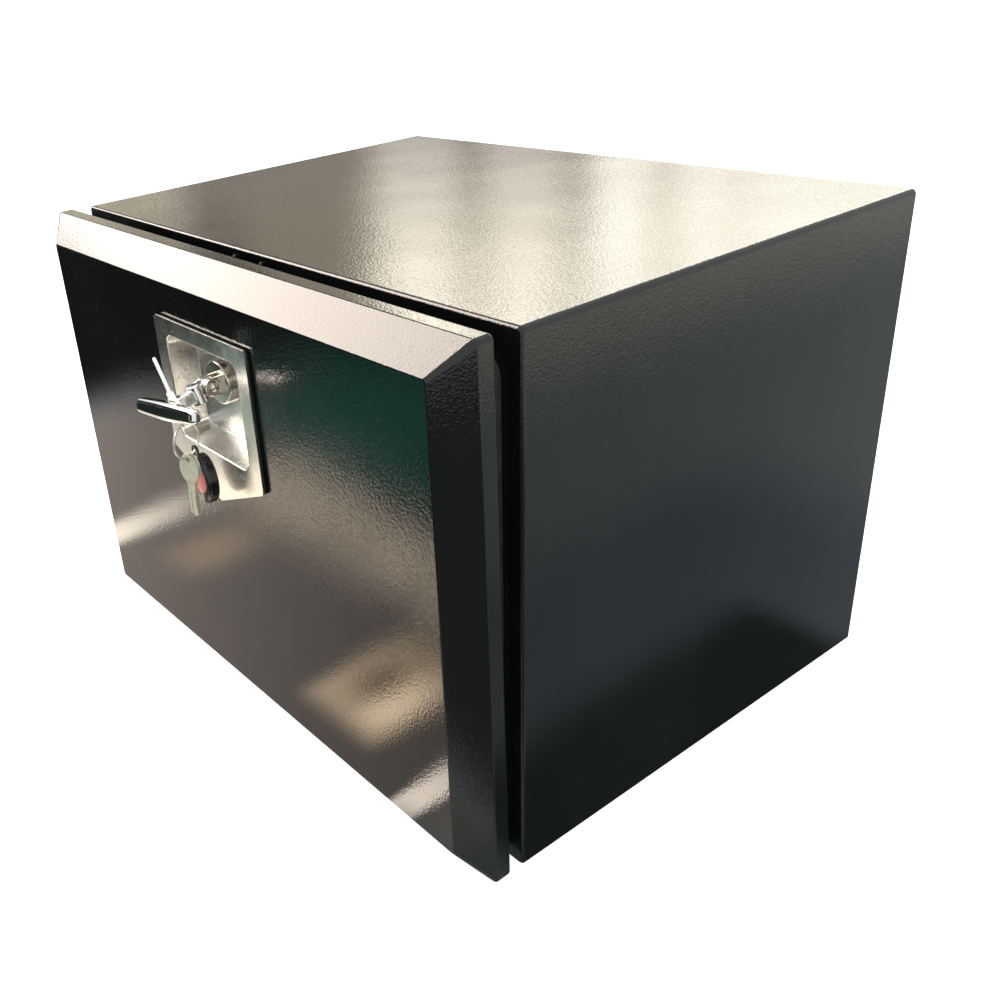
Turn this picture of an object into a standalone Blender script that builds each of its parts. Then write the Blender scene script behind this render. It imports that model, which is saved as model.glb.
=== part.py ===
# Underbody truck tool box: a folded sheet body, a bevelled door hinged along its lower edge,
# slotted stays, and a folding T handle latch in a pressed dish, with its keys tied to it.
# Metres, +Z up. X runs along the front and Y runs to the back. While it is drawn, the body's front
# face is at Y = 0 and its underside at Z = 0; the last lines move the origin to the middle of the foot.
# Each piece is drawn with the door shut. The empties then hold the pose: the door a little ajar.

import bpy
import bmesh
from math import atan2, cos, pi, radians, sin, sqrt, tan
from mathutils import Euler, Matrix, Vector

# Shared sizes
sheet = 0.002
clearance = 0.0003
overrun = 0.004
bite = 0.001
cornerSteps = 5
roundSides = 24

# Body
bodyWidth = 0.610
bodyHeight = 0.4343
bodyDepth = 0.4425
bodyCornerRadius = 0.005
bodyBendRadius = 0.003
flangeWidth = 0.032
openingRadius = 0.008
rearLip = 0.015

# Door
doorSideMargin = 0.002
doorDrop = 0.0031
doorRise = 0.0016
doorGap = 0.0103
doorReturn = 0.0147
bevelDepth = 0.0204
bevelInset = 0.0252
creaseRadius = 0.002
hemWidth = 0.034
panelCornerRadius = 0.003
restAngle = radians(1.29)

# Door liner
linerMargin = 0.006
linerFieldInset = 0.040
linerFieldRise = 0.0046
linerSlope = 0.004
linerCornerRadius = 0.012

# Door seal
sealInset = 0.025
sealWidth = 0.014
sealHeight = 0.0093
sealWall = 0.0016
sealCornerRadius = 0.014
sealButtGap = 0.001

# Hinge
hingeHeight = 0.004
hingeEndMargin = 0.025
hingeLeafWidth = 0.0115
hingePinRadius = 0.0025
knuckleCount = 22

# Strike
strikeWidth = 0.060
strikeHeight = 0.025
strikeTopGap = 0.004
strikeTabWidth = 0.008
strikeTabDrop = 0.013
strikeScrewSpacing = 0.040
strikeScrewRadius = 0.002
strikeScrewHeadRadius = 0.004
strikeScrewHeadHeight = 0.0022
strikeScrewTail = 0.004
strikeScrewFromTop = 0.0103

# Stays
stayRadius = 0.170
stayDoorAngle = radians(8)
stayBodyAngle = radians(24)
stayThickness = 0.003
stayWidth = 0.018
stayEdgeMargin = 0.0117
stayEndMargin = 0.012
studRadius = 0.004
studHeadRadius = 0.007
studHeadHeight = 0.003
studSpacerRadius = 0.006
studFootRadius = 0.011
studFootHeight = 0.003
rivetRadius = 0.003
rivetHeadRadius = 0.0055
rivetHeadHeight = 0.0016
rivetTopShare = 0.6
rivetEdgeShare = 0.35
bracketThickness = 0.003
bracketFootWidth = 0.022
bracketHeight = 0.040
bracketNoseRadius = 0.009
bracketNoseShare = 0.9

# Latch dish
latchFromTop = 0.104
dishHalfWidth = 0.0733
dishRise = 0.0494
dishFall = 0.0749
dishPointFall = 0.1069
dishCornerRadius = 0.004
dishPointRadius = 0.006
dishSheet = 0.0015
gasketThickness = 0.0019
gasketMargin = 0.0008
mouthHalfWidth = 0.0562
mouthRise = 0.0342
mouthFall = 0.0602
mouthRadius = 0.010
mouthLipRadius = 0.0015
dishDepth = 0.027
dishDraft = 0.004
dishFloorRadius = 0.002
bendMiddleShare = 0.3
dishStudRadius = 0.0025
dishStudInset = 0.0075
dishStudSpacing = 0.087
dishStudTail = 0.007
dishNutHeight = 0.0042
dishNutRadius = 0.0046

# Spindle, bush and hub
bushRadius = 0.009
bushFlangeRadius = 0.013
bushFlangeHeight = 0.0015
bushTail = 0.006
bushNutHeight = 0.005
bushNutRadius = 0.0135
spindleRadius = 0.006
spindleNeckRadius = 0.0045
hubRadius = 0.019
hubHeight = 0.0119
hubEdge = 0.001
pinStandoff = 0.0087
earRadius = 0.008
earThickness = 0.0037
pivotPinRadius = 0.0025
pinHeadRadius = 0.0042
pinHeadHeight = 0.0024
pinDomeShares = ((0.55, 0.85), (0.9, 0.4))

# Pawl
pawlStandoff = 0.015
pawlThickness = 0.003
pawlTipGap = 0.003
pawlRootRadius = 0.012
pawlNoseHalfWidth = 0.004
washerRadius = 0.010
washerThickness = 0.0015
pawlNutRadius = 0.0078
pawlNutHeight = 0.005
spindleTail = 0.0015

# Folding T handle
handleTurn = radians(9.8)
handleDroop = radians(11.1)
handleReach = 0.0425
shankHalfWidth = 0.006
shankHalfHeight = 0.0055
shankEdge = 0.0016
barHalfLength = 0.053
barHalfHeight = 0.0078
barHalfThickness = 0.006
barPlaceShares = (0.0, 0.20, 0.45, 0.70, 0.88, 0.96, 1.0)
barSizeShares = (1.0, 0.98, 0.93, 0.86, 0.78, 0.66, 0.40)
barCornerShare = 0.75
bossRadius = 0.0076
bossRise = 0.003
bossFall = 0.004
bossReach = 0.0125
plugRadius = 0.0045
plugLength = 0.0100
plugSink = 0.0004
keywayWidth = 0.0012
keywayLength = 0.0062
keywayDepth = 0.006

# Cable tie
tieReach = 0.0338
tieWidth = 0.0036
tieThickness = 0.0011
tieBottomHalfWidth = 0.0032
tieFillet = 0.0022
tieHeadWidth = 0.0062
tieHeadLength = 0.0048
tieHeadHeight = 0.0062
tieTailLength = 0.032

# Ring, keys and fob
ringHang = 0.0166
ringSlack = 0.00135
ringRadius = 0.0155
ringWire = 0.0009
ringYaw = radians(20)
keyThickness = 0.002
keyBowHalfWidth = 0.010
keyBowHeight = 0.027
keyBladeWidth = 0.008
keyLength = 0.058
keyHoleRadius = 0.0026
keyHoleFromTop = 0.0046
keyHang = 0.0005
keyToothShares = (0.0, 0.30, 0.12, 0.42, 0.20, 0.50, 0.15, 0.34, 0.05)
keyToothDepth = 0.0026
fobHalfWidth = 0.015
fobHalfHeight = 0.022
fobThickness = 0.011
fobEdge = 0.0038
fobInsetHalfWidth = 0.010
fobInsetHalfHeight = 0.012
fobInsetDepth = 0.0008
fobInsetRise = 0.0003
fobLugHalfWidth = 0.0052
fobLugLength = 0.0086
fobLugThickness = 0.0020
fobLugOffset = 0.0032
fobLugRootShare = 0.7
fobHoleRadius = 0.0032
fobHoleSlack = 0.0007
fobRingAngle = radians(35)
fobLean = radians(11.7)

# Places worked out from the sizes
bodyHalf = bodyWidth / 2
doorHalf = bodyHalf - doorSideMargin
doorBottom = -doorDrop
doorTop = bodyHeight + doorRise
doorBack = -doorGap
bevelBack = doorBack - doorReturn
doorFront = bevelBack - bevelDepth
openingTop = bodyHeight - flangeWidth
hingeY = -doorGap / 2
knuckleRadius = doorGap / 2 - clearance
latchHeight = doorTop - latchFromTop
plateBack = doorFront - 2 * clearance - gasketThickness
plateFront = plateBack - dishSheet
floorFront = plateFront + dishDepth
floorBack = floorFront + dishSheet
linerRimFront = doorBack - 2 * sheet - clearance
linerBack = linerRimFront + sheet + linerFieldRise
bushFlangeBack = floorFront - clearance
hubBack = bushFlangeBack - bushFlangeHeight - clearance
hubFront = hubBack - hubHeight
pinY = hubFront - pinStandoff
sideWall = bodyHalf - sheet
stayOuter = bodyHalf - flangeWidth - stayEdgeMargin + stayThickness
stayInner = stayOuter - stayThickness


# Scene and collections
def clearScene():
    for item in list(bpy.data.objects):
        bpy.data.objects.remove(item, do_unlink=True)


def newCollection(name, hidden=False):
    made = bpy.data.collections.new(name)
    bpy.context.scene.collection.children.link(made)
    made.hide_render = hidden
    return made


clearScene()
parts = newCollection("underbody_tool_box")
cutters = newCollection("cutters", hidden=True)


def material(name, colour, roughness, metallic=0.0):
    made = bpy.data.materials.new(name)
    made.use_nodes = True
    shader = made.node_tree.nodes["Principled BSDF"]
    shader.inputs["Base Color"].default_value = (*colour, 1.0)
    shader.inputs["Roughness"].default_value = roughness
    shader.inputs["Metallic"].default_value = metallic
    made.diffuse_color = (*colour, 1.0)
    return made


blackPaint = material("black_powder_coat", (0.012, 0.013, 0.013), 0.38)
polishedSteel = material("polished_stainless", (0.66, 0.64, 0.60), 0.14, 1.0)
chrome = material("chrome_plate", (0.80, 0.80, 0.79), 0.08, 1.0)
zincSteel = material("zinc_steel", (0.52, 0.52, 0.50), 0.36, 1.0)
blackOxide = material("black_oxide_steel", (0.020, 0.020, 0.021), 0.42, 1.0)
nickelKey = material("nickel_brass", (0.55, 0.53, 0.44), 0.30, 1.0)
darkRubber = material("black_rubber", (0.015, 0.015, 0.015), 0.75)
blackPlastic = material("black_plastic", (0.010, 0.010, 0.011), 0.16)
whiteNylon = material("white_nylon", (0.80, 0.79, 0.72), 0.42)
pinkResin = material("pink_resin", (0.62, 0.25, 0.24), 0.30)


# Points of rounded outlines
def filleted(corners, radii, steps=cornerSteps):
    """Corner points of a closed outline, each replaced by an arc of its own radius."""
    points = []
    count = len(corners)
    for index, corner in enumerate(corners):
        here = Vector(corner)
        before = (Vector(corners[index - 1]) - here).normalized()
        after = (Vector(corners[(index + 1) % count]) - here).normalized()
        radius = radii[index]
        if not radius:
            points.append((here.x, here.y))
            continue
        half = before.angle(after) / 2
        centre = here + (before + after).normalized() * (radius / sin(half))
        start = here + before * (radius / tan(half)) - centre
        end = here + after * (radius / tan(half)) - centre
        turn = start.angle_signed(end)
        for step in range(steps + 1):
            angle = -turn * step / steps
            points.append((centre.x + start.x * cos(angle) - start.y * sin(angle),
                           centre.y + start.x * sin(angle) + start.y * cos(angle)))
    return points


def rectangle(half, low, high, radius, steps=cornerSteps):
    corners = [(half, low), (half, high), (-half, high), (-half, low)]
    return filleted(corners, [radius] * len(corners), steps)


def circle(radius, centre=(0, 0), sides=roundSides):
    return [(centre[0] + radius * cos(2 * pi * side / sides),
             centre[1] + radius * sin(2 * pi * side / sides)) for side in range(sides)]


def arc(centre, radius, start, end, steps):
    angles = [start + (end - start) * step / steps for step in range(steps + 1)]
    return [(centre[0] + radius * cos(angle), centre[1] + radius * sin(angle)) for angle in angles]


# Objects
def link(name, mesh, paint=None, collection=None):
    made = bpy.data.objects.new(name, mesh)
    (collection or parts).objects.link(made)
    if paint:
        mesh.materials.append(paint)
    return made


def asCutter(item):
    for held in list(item.users_collection):
        held.objects.unlink(item)
    cutters.objects.link(item)
    item.hide_render = True
    item.display_type = 'WIRE'
    return item


def finishMesh(name, mesh, paint):
    builder = bmesh.new()
    builder.from_mesh(mesh)
    bmesh.ops.recalc_face_normals(builder, faces=builder.faces[:])
    builder.to_mesh(mesh)
    builder.free()
    return link(name, mesh, paint)


axisTurns = {'Y': Matrix.Rotation(pi / 2, 4, 'X'),
             'X': Matrix(((0, 0, 1, 0), (1, 0, 0, 0), (0, 1, 0, 0), (0, 0, 0, 1))),
             'Z': Matrix.Identity(4)}


def plate(name, outlines, low, high, axis='Y', paint=None):
    """A flat outline, with any holes after it, extruded from low to high along one axis."""
    curve = bpy.data.curves.new(name, 'CURVE')
    curve.dimensions = '2D'
    curve.fill_mode = 'BOTH'
    curve.extrude = abs(high - low) / 2
    for outline in outlines:
        spline = curve.splines.new('POLY')
        spline.points.add(len(outline) - 1)
        for point, place in zip(spline.points, outline):
            point.co = (place[0], place[1], 0, 1)
        spline.use_cyclic_u = True
    held = bpy.data.objects.new(name + "_outline", curve)
    bpy.context.scene.collection.objects.link(held)
    bpy.context.view_layer.update()
    evaluated = held.evaluated_get(bpy.context.evaluated_depsgraph_get())
    mesh = bpy.data.meshes.new_from_object(evaluated)
    bpy.data.objects.remove(held, do_unlink=True)
    bpy.data.curves.remove(curve)
    builder = bmesh.new()
    builder.from_mesh(mesh)
    bmesh.ops.remove_doubles(builder, verts=builder.verts[:], dist=clearance / 1000)
    if len(outlines) == 1:
        bmesh.ops.dissolve_limit(builder, angle_limit=radians(0.1), verts=builder.verts[:],
                                 edges=builder.edges[:])
    builder.to_mesh(mesh)
    builder.free()
    mesh.transform(axisTurns[axis])
    middle = (low + high) / 2
    offset = {'X': (middle, 0, 0), 'Y': (0, middle, 0), 'Z': (0, 0, middle)}[axis]
    mesh.transform(Matrix.Translation(offset))
    mesh.name = name
    return finishMesh(name, mesh, paint)


def box(name, low, high, paint=None):
    mesh = bpy.data.meshes.new(name)
    builder = bmesh.new()
    bmesh.ops.create_cube(builder, size=1)
    size = [high[n] - low[n] for n in range(3)]
    middle = [(high[n] + low[n]) / 2 for n in range(3)]
    bmesh.ops.scale(builder, vec=size, verts=builder.verts[:])
    bmesh.ops.translate(builder, vec=middle, verts=builder.verts[:])
    builder.to_mesh(mesh)
    builder.free()
    return link(name, mesh, paint)


def rod(name, radius, start, end, paint=None, sides=roundSides):
    """A round bar between two points."""
    start, end = Vector(start), Vector(end)
    mesh = bpy.data.meshes.new(name)
    builder = bmesh.new()
    bmesh.ops.create_cone(builder, cap_ends=True, segments=sides, radius1=radius, radius2=radius,
                          depth=(end - start).length)
    turn = (end - start).to_track_quat('Z', 'Y').to_matrix().to_4x4()
    bmesh.ops.transform(builder, matrix=Matrix.Translation((start + end) / 2) @ turn,
                        verts=builder.verts[:])
    builder.to_mesh(mesh)
    builder.free()
    return link(name, mesh, paint)


def turned(name, profile, paint=None, sides=roundSides):
    """A profile of (radius, height) points, from top to bottom, turned about the local Z axis."""
    mesh = bpy.data.meshes.new(name)
    builder = bmesh.new()
    points = [builder.verts.new((radius, 0, height)) for radius, height in profile]
    for first, second in zip(points, points[1:]):
        builder.edges.new((first, second))
    if profile[0][0] and profile[-1][0]:
        builder.edges.new((points[-1], points[0]))
    builder.to_mesh(mesh)
    builder.free()
    made = link(name, mesh, paint)
    screw = made.modifiers.new("turn", 'SCREW')
    screw.steps = sides
    screw.render_steps = sides
    screw.use_merge_vertices = True
    screw.merge_threshold = clearance / 10
    return made


def lofted(name, rings, paint=None, closedAround=True, closedAlong=False, capped=False):
    """Faces between rings that have the same number of points."""
    mesh = bpy.data.meshes.new(name)
    builder = bmesh.new()
    made = [[builder.verts.new(point) for point in ring] for ring in rings]
    count = len(rings[0])
    pairs = list(zip(made, made[1:]))
    if closedAlong:
        pairs.append((made[-1], made[0]))
    for lower, upper in pairs:
        for index in range(count if closedAround else count - 1):
            following = (index + 1) % count
            builder.faces.new((lower[index], lower[following], upper[following], upper[index]))
    if capped:
        builder.faces.new(made[0])
        builder.faces.new(made[-1])
    bmesh.ops.recalc_face_normals(builder, faces=builder.faces[:])
    builder.to_mesh(mesh)
    builder.free()
    return link(name, mesh, paint)


def boolean(item, cutter, operation='DIFFERENCE'):
    """Cuts or joins a shape that is drawn in the item's present place, and rides with it."""
    asCutter(cutter)
    cutter.parent = item
    cutter.matrix_parent_inverse = item.matrix_basis.inverted()
    step = item.modifiers.new(operation.lower(), 'BOOLEAN')
    step.operation = operation
    step.solver = 'EXACT'
    step.object = cutter
    return item


def joinMeshes(name, items, paint=None):
    """Separate shapes put into one mesh, for use as one cutter."""
    builder = bmesh.new()
    for item in items:
        copied = item.data.copy()
        copied.transform(item.matrix_basis)
        builder.from_mesh(copied)
        bpy.data.objects.remove(item, do_unlink=True)
    mesh = bpy.data.meshes.new(name)
    builder.to_mesh(mesh)
    builder.free()
    return link(name, mesh, paint)


def shell(item, thickness, inward=True):
    solid = item.modifiers.new("thickness", 'SOLIDIFY')
    solid.thickness = thickness
    solid.offset = -1 if inward else 1
    solid.use_even_offset = True
    solid.use_quality_normals = True
    return item


def softEdge(item, width, segments=2, limit=radians(40)):
    edge = item.modifiers.new("edge", 'BEVEL')
    edge.width = width
    edge.segments = segments
    edge.limit_method = 'ANGLE'
    edge.angle_limit = limit
    return item


def empty(name, place, turn=(0, 0, 0), parent=None, parentPlace=(0, 0, 0)):
    made = bpy.data.objects.new(name, None)
    parts.objects.link(made)
    made.empty_display_size = sealWidth
    made.location = Vector(place) - Vector(parentPlace)
    made.rotation_euler = Euler(turn)
    made.parent = parent
    return made


def ride(items, parent, parentPlace):
    """Hangs items that are drawn in the shut pose on an empty that stands at parentPlace."""
    for item in items:
        item.parent = parent
        item.matrix_parent_inverse = Matrix.Translation(-Vector(parentPlace))


def throughY(outline, depth):
    return [(x, depth, z) for x, z in outline]


# Body shell: rings from the rear edge round the front bend to the edge of the opening
def sheetRings(half, low, high, cornerRadius, stations):
    """Rounded rectangles, each given as (inset, depth, corner radius or None)."""
    rings = []
    for inset, depth, radius in stations:
        own = max(cornerRadius - inset, bite) if radius is None else radius
        rings.append(throughY(rectangle(half - inset, low + inset, high - inset, own), depth))
    return rings


def bendStations(radius, depth, side, steps=3):
    """The quarter bend from a wall to a flange whose outer face is at depth."""
    stations = []
    for step in range(steps + 1):
        angle = pi / 2 * step / steps
        stations.append((radius * (1 - cos(angle)), depth + side * radius * (1 - sin(angle)), None))
    return stations


bodyStations = [(0, bodyDepth, None)] + bendStations(bodyBendRadius, 0, 1)
bodyStations.append((flangeWidth, 0, openingRadius))
bodyShell = lofted("body_shell", sheetRings(bodyHalf, 0, bodyHeight, bodyCornerRadius, bodyStations),
                   blackPaint)
shell(bodyShell, sheet)

# Rear panel: a shallow pan nested in the shell
panInset = sheet + clearance
panStations = [(0, bodyDepth - rearLip, None)] + [
    (inset, depth, None) for inset, depth, _ in bendStations(bodyBendRadius, bodyDepth, -1)]
panRings = sheetRings(bodyHalf - panInset, panInset, bodyHeight - panInset,
                      bodyCornerRadius - sheet, panStations)


def closeWithFace(item, ring):
    """Fills the outline that a ring of points makes."""
    builder = bmesh.new()
    builder.from_mesh(item.data)
    wanted = [Vector(point) for point in ring]
    found = [min(builder.verts, key=lambda vert: (vert.co - place).length) for place in wanted]
    builder.faces.new(found)
    bmesh.ops.recalc_face_normals(builder, faces=builder.faces[:])
    builder.to_mesh(item.data)
    builder.free()


backPanel = lofted("back_panel", panRings, blackPaint)
closeWithFace(backPanel, panRings[-1])
shell(backPanel, sheet)

# Door seal: a hollow D section on the front flange, butted at the middle of the lower edge
sealBase = -clearance


def sealLoop(inset, depth):
    half = bodyHalf - inset
    radius = sealCornerRadius + sealInset - inset
    corners = [(half, inset), (half, bodyHeight - inset), (-half, bodyHeight - inset), (-half, inset)]
    outline = filleted(corners, [radius] * len(corners), cornerSteps)
    ends = [(sealButtGap / 2, inset)] + outline + [(-sealButtGap / 2, inset)]
    return throughY(ends, depth)


sealArcHeight = sealHeight - sealWidth / 2
sealProfile = [(sealInset - sealWidth / 2, sealBase)]
for place in arc((sealInset, sealBase - sealArcHeight), sealWidth / 2, pi, 2 * pi, 6):
    sealProfile.append(place)
sealProfile.append((sealInset + sealWidth / 2, sealBase))
doorSeal = lofted("door_seal", [sealLoop(*place) for place in sealProfile], darkRubber,
                  closedAround=False, closedAlong=True)
shell(doorSeal, sealWall)

# Hinge: two leaves rolled round one pin, with alternate knuckles cut away
hingeHalf = bodyHalf - hingeEndMargin
knucklePitch = 2 * hingeHalf / knuckleCount


def hingeLeaf(name, side):
    centre = (side * hingeY, hingeHeight)
    meet = atan2(sqrt(knuckleRadius ** 2 - (knuckleRadius - sheet) ** 2), knuckleRadius - sheet)
    eye = arc((0, 0), knuckleRadius, meet, 2 * pi, 11)
    outline = [(knuckleRadius, hingeLeafWidth), (knuckleRadius - sheet, hingeLeafWidth)] + eye
    outline = [(hingeY + side * y, hingeHeight + z) for y, z in outline]
    bore = circle(hingePinRadius + clearance, (hingeY, hingeHeight), 12)
    leaf = plate(name, [outline, bore], -hingeHalf, hingeHalf, 'X', zincSteel)
    notchTop = hingeHeight + knuckleRadius + clearance
    notches = []
    for index in range(knuckleCount):
        if index % 2 == (side > 0):
            start = -hingeHalf + index * knucklePitch - clearance
            if index == 0:
                start -= overrun
            end = -hingeHalf + (index + 1) * knucklePitch + clearance
            if index == knuckleCount - 1:
                end += overrun
            notches.append(box("notch", (start, hingeY - doorGap, hingeHeight - doorGap),
                               (end, hingeY + doorGap, notchTop)))
    return boolean(leaf, joinMeshes(name + "_notches", notches))


hingeLeafBody = hingeLeaf("hinge_leaf_body", 1)
hingeLeafDoor = hingeLeaf("hinge_leaf_door", -1)
hingePin = rod("hinge_pin", hingePinRadius, (-hingeHalf, hingeY, hingeHeight),
               (hingeHalf, hingeY, hingeHeight), zincSteel, 12)

# Strike plate behind the top flange, with the hook that the pawl catches
strikeFront = sheet + clearance
strikeBack = strikeFront + sheet
strikeTop = bodyHeight - sheet - strikeTopGap
strikeLow = strikeTop - strikeHeight
hookLow = openingTop - strikeTabDrop
strikeOutline = [(strikeWidth / 2, strikeTop), (-strikeWidth / 2, strikeTop),
                 (-strikeWidth / 2, strikeLow), (-strikeTabWidth / 2, strikeLow),
                 (-strikeTabWidth / 2, hookLow), (strikeTabWidth / 2, hookLow),
                 (strikeTabWidth / 2, strikeLow), (strikeWidth / 2, strikeLow)]
strikeScrewHeight = bodyHeight - strikeScrewFromTop
screwPlaces = [(side * strikeScrewSpacing / 2, strikeScrewHeight) for side in (-1, 1)]
strikeHoles = [circle(strikeScrewRadius + clearance, place, 12) for place in screwPlaces]
strikePlate = plate("strike_plate", [strikeOutline] + strikeHoles, strikeFront, strikeBack, 'Y',
                    zincSteel)
flangeHoles = [rod("hole", strikeScrewRadius + clearance, (x, -overrun, z), (x, overrun, z), None, 12)
               for x, z in screwPlaces]
boolean(bodyShell, joinMeshes("flange_holes", flangeHoles))


def placeTurned(item, place, axis):
    """Points the turned piece's own Z axis along a direction and moves it to its place."""
    item.rotation_mode = 'QUATERNION'
    item.rotation_quaternion = Vector(axis).to_track_quat('Z', 'Y')
    item.location = place
    return item


screwBack = strikeBack + strikeScrewTail
screwProfile = [(0, strikeScrewHeadHeight), (strikeScrewHeadRadius / 2, strikeScrewHeadHeight),
                (strikeScrewHeadRadius, strikeScrewHeadHeight / 2), (strikeScrewHeadRadius, 0),
                (strikeScrewRadius, 0), (strikeScrewRadius, -screwBack), (0, -screwBack)]
for number, (x, z) in enumerate(screwPlaces, 1):
    placeTurned(turned("strike_screw_%d" % number, screwProfile, blackOxide, 12),
                (x, -clearance, z), (0, -1, 0))

# Stays: a post on each side wall, and a slotted arm that turns on a bracket on the door
hingePlace = Vector((0, hingeY, hingeHeight))


def onStayCircle(angle):
    return (hingeY + stayRadius * sin(angle), hingeHeight + stayRadius * cos(angle))


stayDoorPoint = onStayCircle(stayDoorAngle)
stayBodyPoint = onStayCircle(stayBodyAngle)
slotStart = 2 * stayRadius * sin((stayBodyAngle - stayDoorAngle) / 2)
slotEnd = 2 * stayRadius * sin((stayBodyAngle - stayDoorAngle + pi / 2) / 2)
armDirection = atan2(stayBodyPoint[1] - stayDoorPoint[1], stayBodyPoint[0] - stayDoorPoint[0])


def capsule(start, end, radius, sides=8):
    """A long outline with round ends, lying along the first axis."""
    return (arc((end, 0), radius, -pi / 2, pi / 2, sides)
            + arc((start, 0), radius, pi / 2, 3 * pi / 2, sides))


def turnedOutline(outline, angle, place):
    return [(place[0] + a * cos(angle) - b * sin(angle), place[1] + a * sin(angle) + b * cos(angle))
            for a, b in outline]


def stayPieces(sideName, side):
    inner, outer = stayInner * side, stayOuter * side
    stud = [(0, 0), (studHeadRadius, 0), (studHeadRadius, -studHeadHeight),
            (studRadius, -studHeadHeight)]
    neck = -(studHeadHeight + stayThickness + 2 * clearance)
    foot = -(sideWall - clearance - (stayInner - clearance - studHeadHeight))
    stud += [(studRadius, neck), (studSpacerRadius, neck), (studSpacerRadius, foot + studFootHeight),
             (studFootRadius, foot + studFootHeight), (studFootRadius, foot), (0, foot)]
    placeTurned(turned("stay_stud_" + sideName, stud, zincSteel, 16),
                (side * (stayInner - clearance - studHeadHeight), *stayBodyPoint), (-side, 0, 0))

    outline = capsule(0, slotEnd + stayEndMargin - stayWidth / 2, stayWidth / 2)
    slot = capsule(slotStart, slotEnd, studRadius + clearance)
    pivot = circle(rivetRadius + clearance, (0, 0), 12)
    turnedOnes = [turnedOutline(part, armDirection, stayDoorPoint) for part in (outline, slot, pivot)]
    arm = plate("stay_arm_" + sideName, turnedOnes, inner, outer, 'X', zincSteel)

    bracketOuter = stayInner - clearance
    bracketInner = bracketOuter - bracketThickness
    root = linerBack + clearance
    y, z = stayDoorPoint
    corners = [(root, z - bracketHeight / 2), (root, z + bracketHeight / 2),
               (y + bracketNoseRadius, z + bracketNoseRadius),
               (y + bracketNoseRadius, z - bracketNoseRadius)]
    noseRadius = bracketNoseRadius * bracketNoseShare
    upstand = filleted(corners, [0, 0, noseRadius, noseRadius])
    hole = circle(rivetRadius + clearance, (y, z), 12)
    bracket = plate("stay_bracket_" + sideName, [upstand, hole], side * bracketInner,
                    side * bracketOuter, 'X', zincSteel)
    footEdge = bracketOuter - bracketFootWidth
    foot = box("bracket_foot", (min(side * footEdge, side * (bracketOuter - bite)), root,
                                z - bracketHeight / 2 + bite),
               (max(side * footEdge, side * (bracketOuter - bite)), root + sheet,
                z + bracketHeight / 2 - bite))
    boolean(bracket, foot, 'UNION')

    gripHead = stayOuter + clearance
    rivet = [(0, gripHead + rivetHeadHeight),
             (rivetHeadRadius * rivetTopShare, gripHead + rivetHeadHeight),
             (rivetHeadRadius, gripHead + rivetHeadHeight * rivetEdgeShare),
             (rivetHeadRadius, gripHead),
             (rivetRadius, gripHead), (rivetRadius, bracketInner - clearance),
             (rivetHeadRadius, bracketInner - clearance),
             (rivetHeadRadius, bracketInner - clearance - rivetHeadHeight),
             (0, bracketInner - clearance - rivetHeadHeight)]
    pin = placeTurned(turned("stay_rivet_" + sideName, rivet, zincSteel, 12),
                      (0, *stayDoorPoint), (side, 0, 0))
    return arm, bracket, pin


leftStay = stayPieces("left", -1)
rightStay = stayPieces("right", 1)

# Door skin: hem, return and bevel as rings, then the front panel filled round the dish's cut-out
doorAxis = empty("door_axis", hingePlace, (restAngle, 0, 0))


def creaseStations(inset, depth, before, after, radius, steps=2):
    """A rounded crease at (inset, depth) between two directions given as (inset, depth)."""
    corner = Vector((inset, depth))
    toBefore, toAfter = Vector(before).normalized(), Vector(after).normalized()
    half = toBefore.angle(toAfter) / 2
    centre = corner + (toBefore + toAfter).normalized() * (radius / sin(half))
    start = corner + toBefore * (radius / tan(half)) - centre
    end = corner + toAfter * (radius / tan(half)) - centre
    first = atan2(start.y, start.x)
    turn = (atan2(end.y, end.x) - first + pi) % (2 * pi) - pi
    return arc(centre, radius, first, first + turn, steps)


def doorRadius(inset):
    share = min(inset / bevelInset, 1)
    return bodyCornerRadius + (panelCornerRadius - bodyCornerRadius) * share


skinStations = [(hemWidth, doorBack, openingRadius)]
for inset, depth, _ in reversed(bendStations(bodyBendRadius, doorBack, -1)):
    skinStations.append((inset, depth, max(bodyCornerRadius - inset, bite)))
for inset, depth in creaseStations(0, bevelBack, (0, 1), (bevelInset, -bevelDepth), creaseRadius):
    skinStations.append((inset, depth, doorRadius(inset)))
for inset, depth in creaseStations(bevelInset, doorFront, (-bevelInset, bevelDepth), (1, 0),
                                   creaseRadius):
    skinStations.append((inset, depth, doorRadius(inset)))
skinRings = sheetRings(doorHalf, doorBottom, doorTop, bodyCornerRadius, skinStations)

cutoutGap = dishSheet + clearance
cutoutOutline = rectangle(mouthHalfWidth + cutoutGap, latchHeight - mouthFall - cutoutGap,
                          latchHeight + mouthRise + cutoutGap, mouthRadius + cutoutGap)


def fillBetween(item, outer, inner):
    """Fills the flat area between two rings of an open sheet; the inner one is added."""
    builder = bmesh.new()
    builder.from_mesh(item.data)
    wanted = [Vector(point) for point in outer]
    outerVerts = [min(builder.verts, key=lambda vert: (vert.co - place).length) for place in wanted]
    innerVerts = []
    for point in inner:
        place = Vector(point)
        near = min(builder.verts, key=lambda vert: (vert.co - place).length)
        fits = (near.co - place).length < clearance / 10
        innerVerts.append(near if fits else builder.verts.new(place))
    edges = []
    for loop in (outerVerts, innerVerts):
        for first, second in zip(loop, loop[1:] + loop[:1]):
            edges.append(builder.edges.get((first, second)) or builder.edges.new((first, second)))
    bmesh.ops.triangle_fill(builder, edges=edges, use_beauty=True)
    bmesh.ops.recalc_face_normals(builder, faces=builder.faces[:])
    builder.to_mesh(item.data)
    builder.free()


doorSkin = lofted("door_skin", skinRings, blackPaint)
fillBetween(doorSkin, skinRings[-1], throughY(cutoutOutline, doorFront))
shell(doorSkin, sheet)

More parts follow.
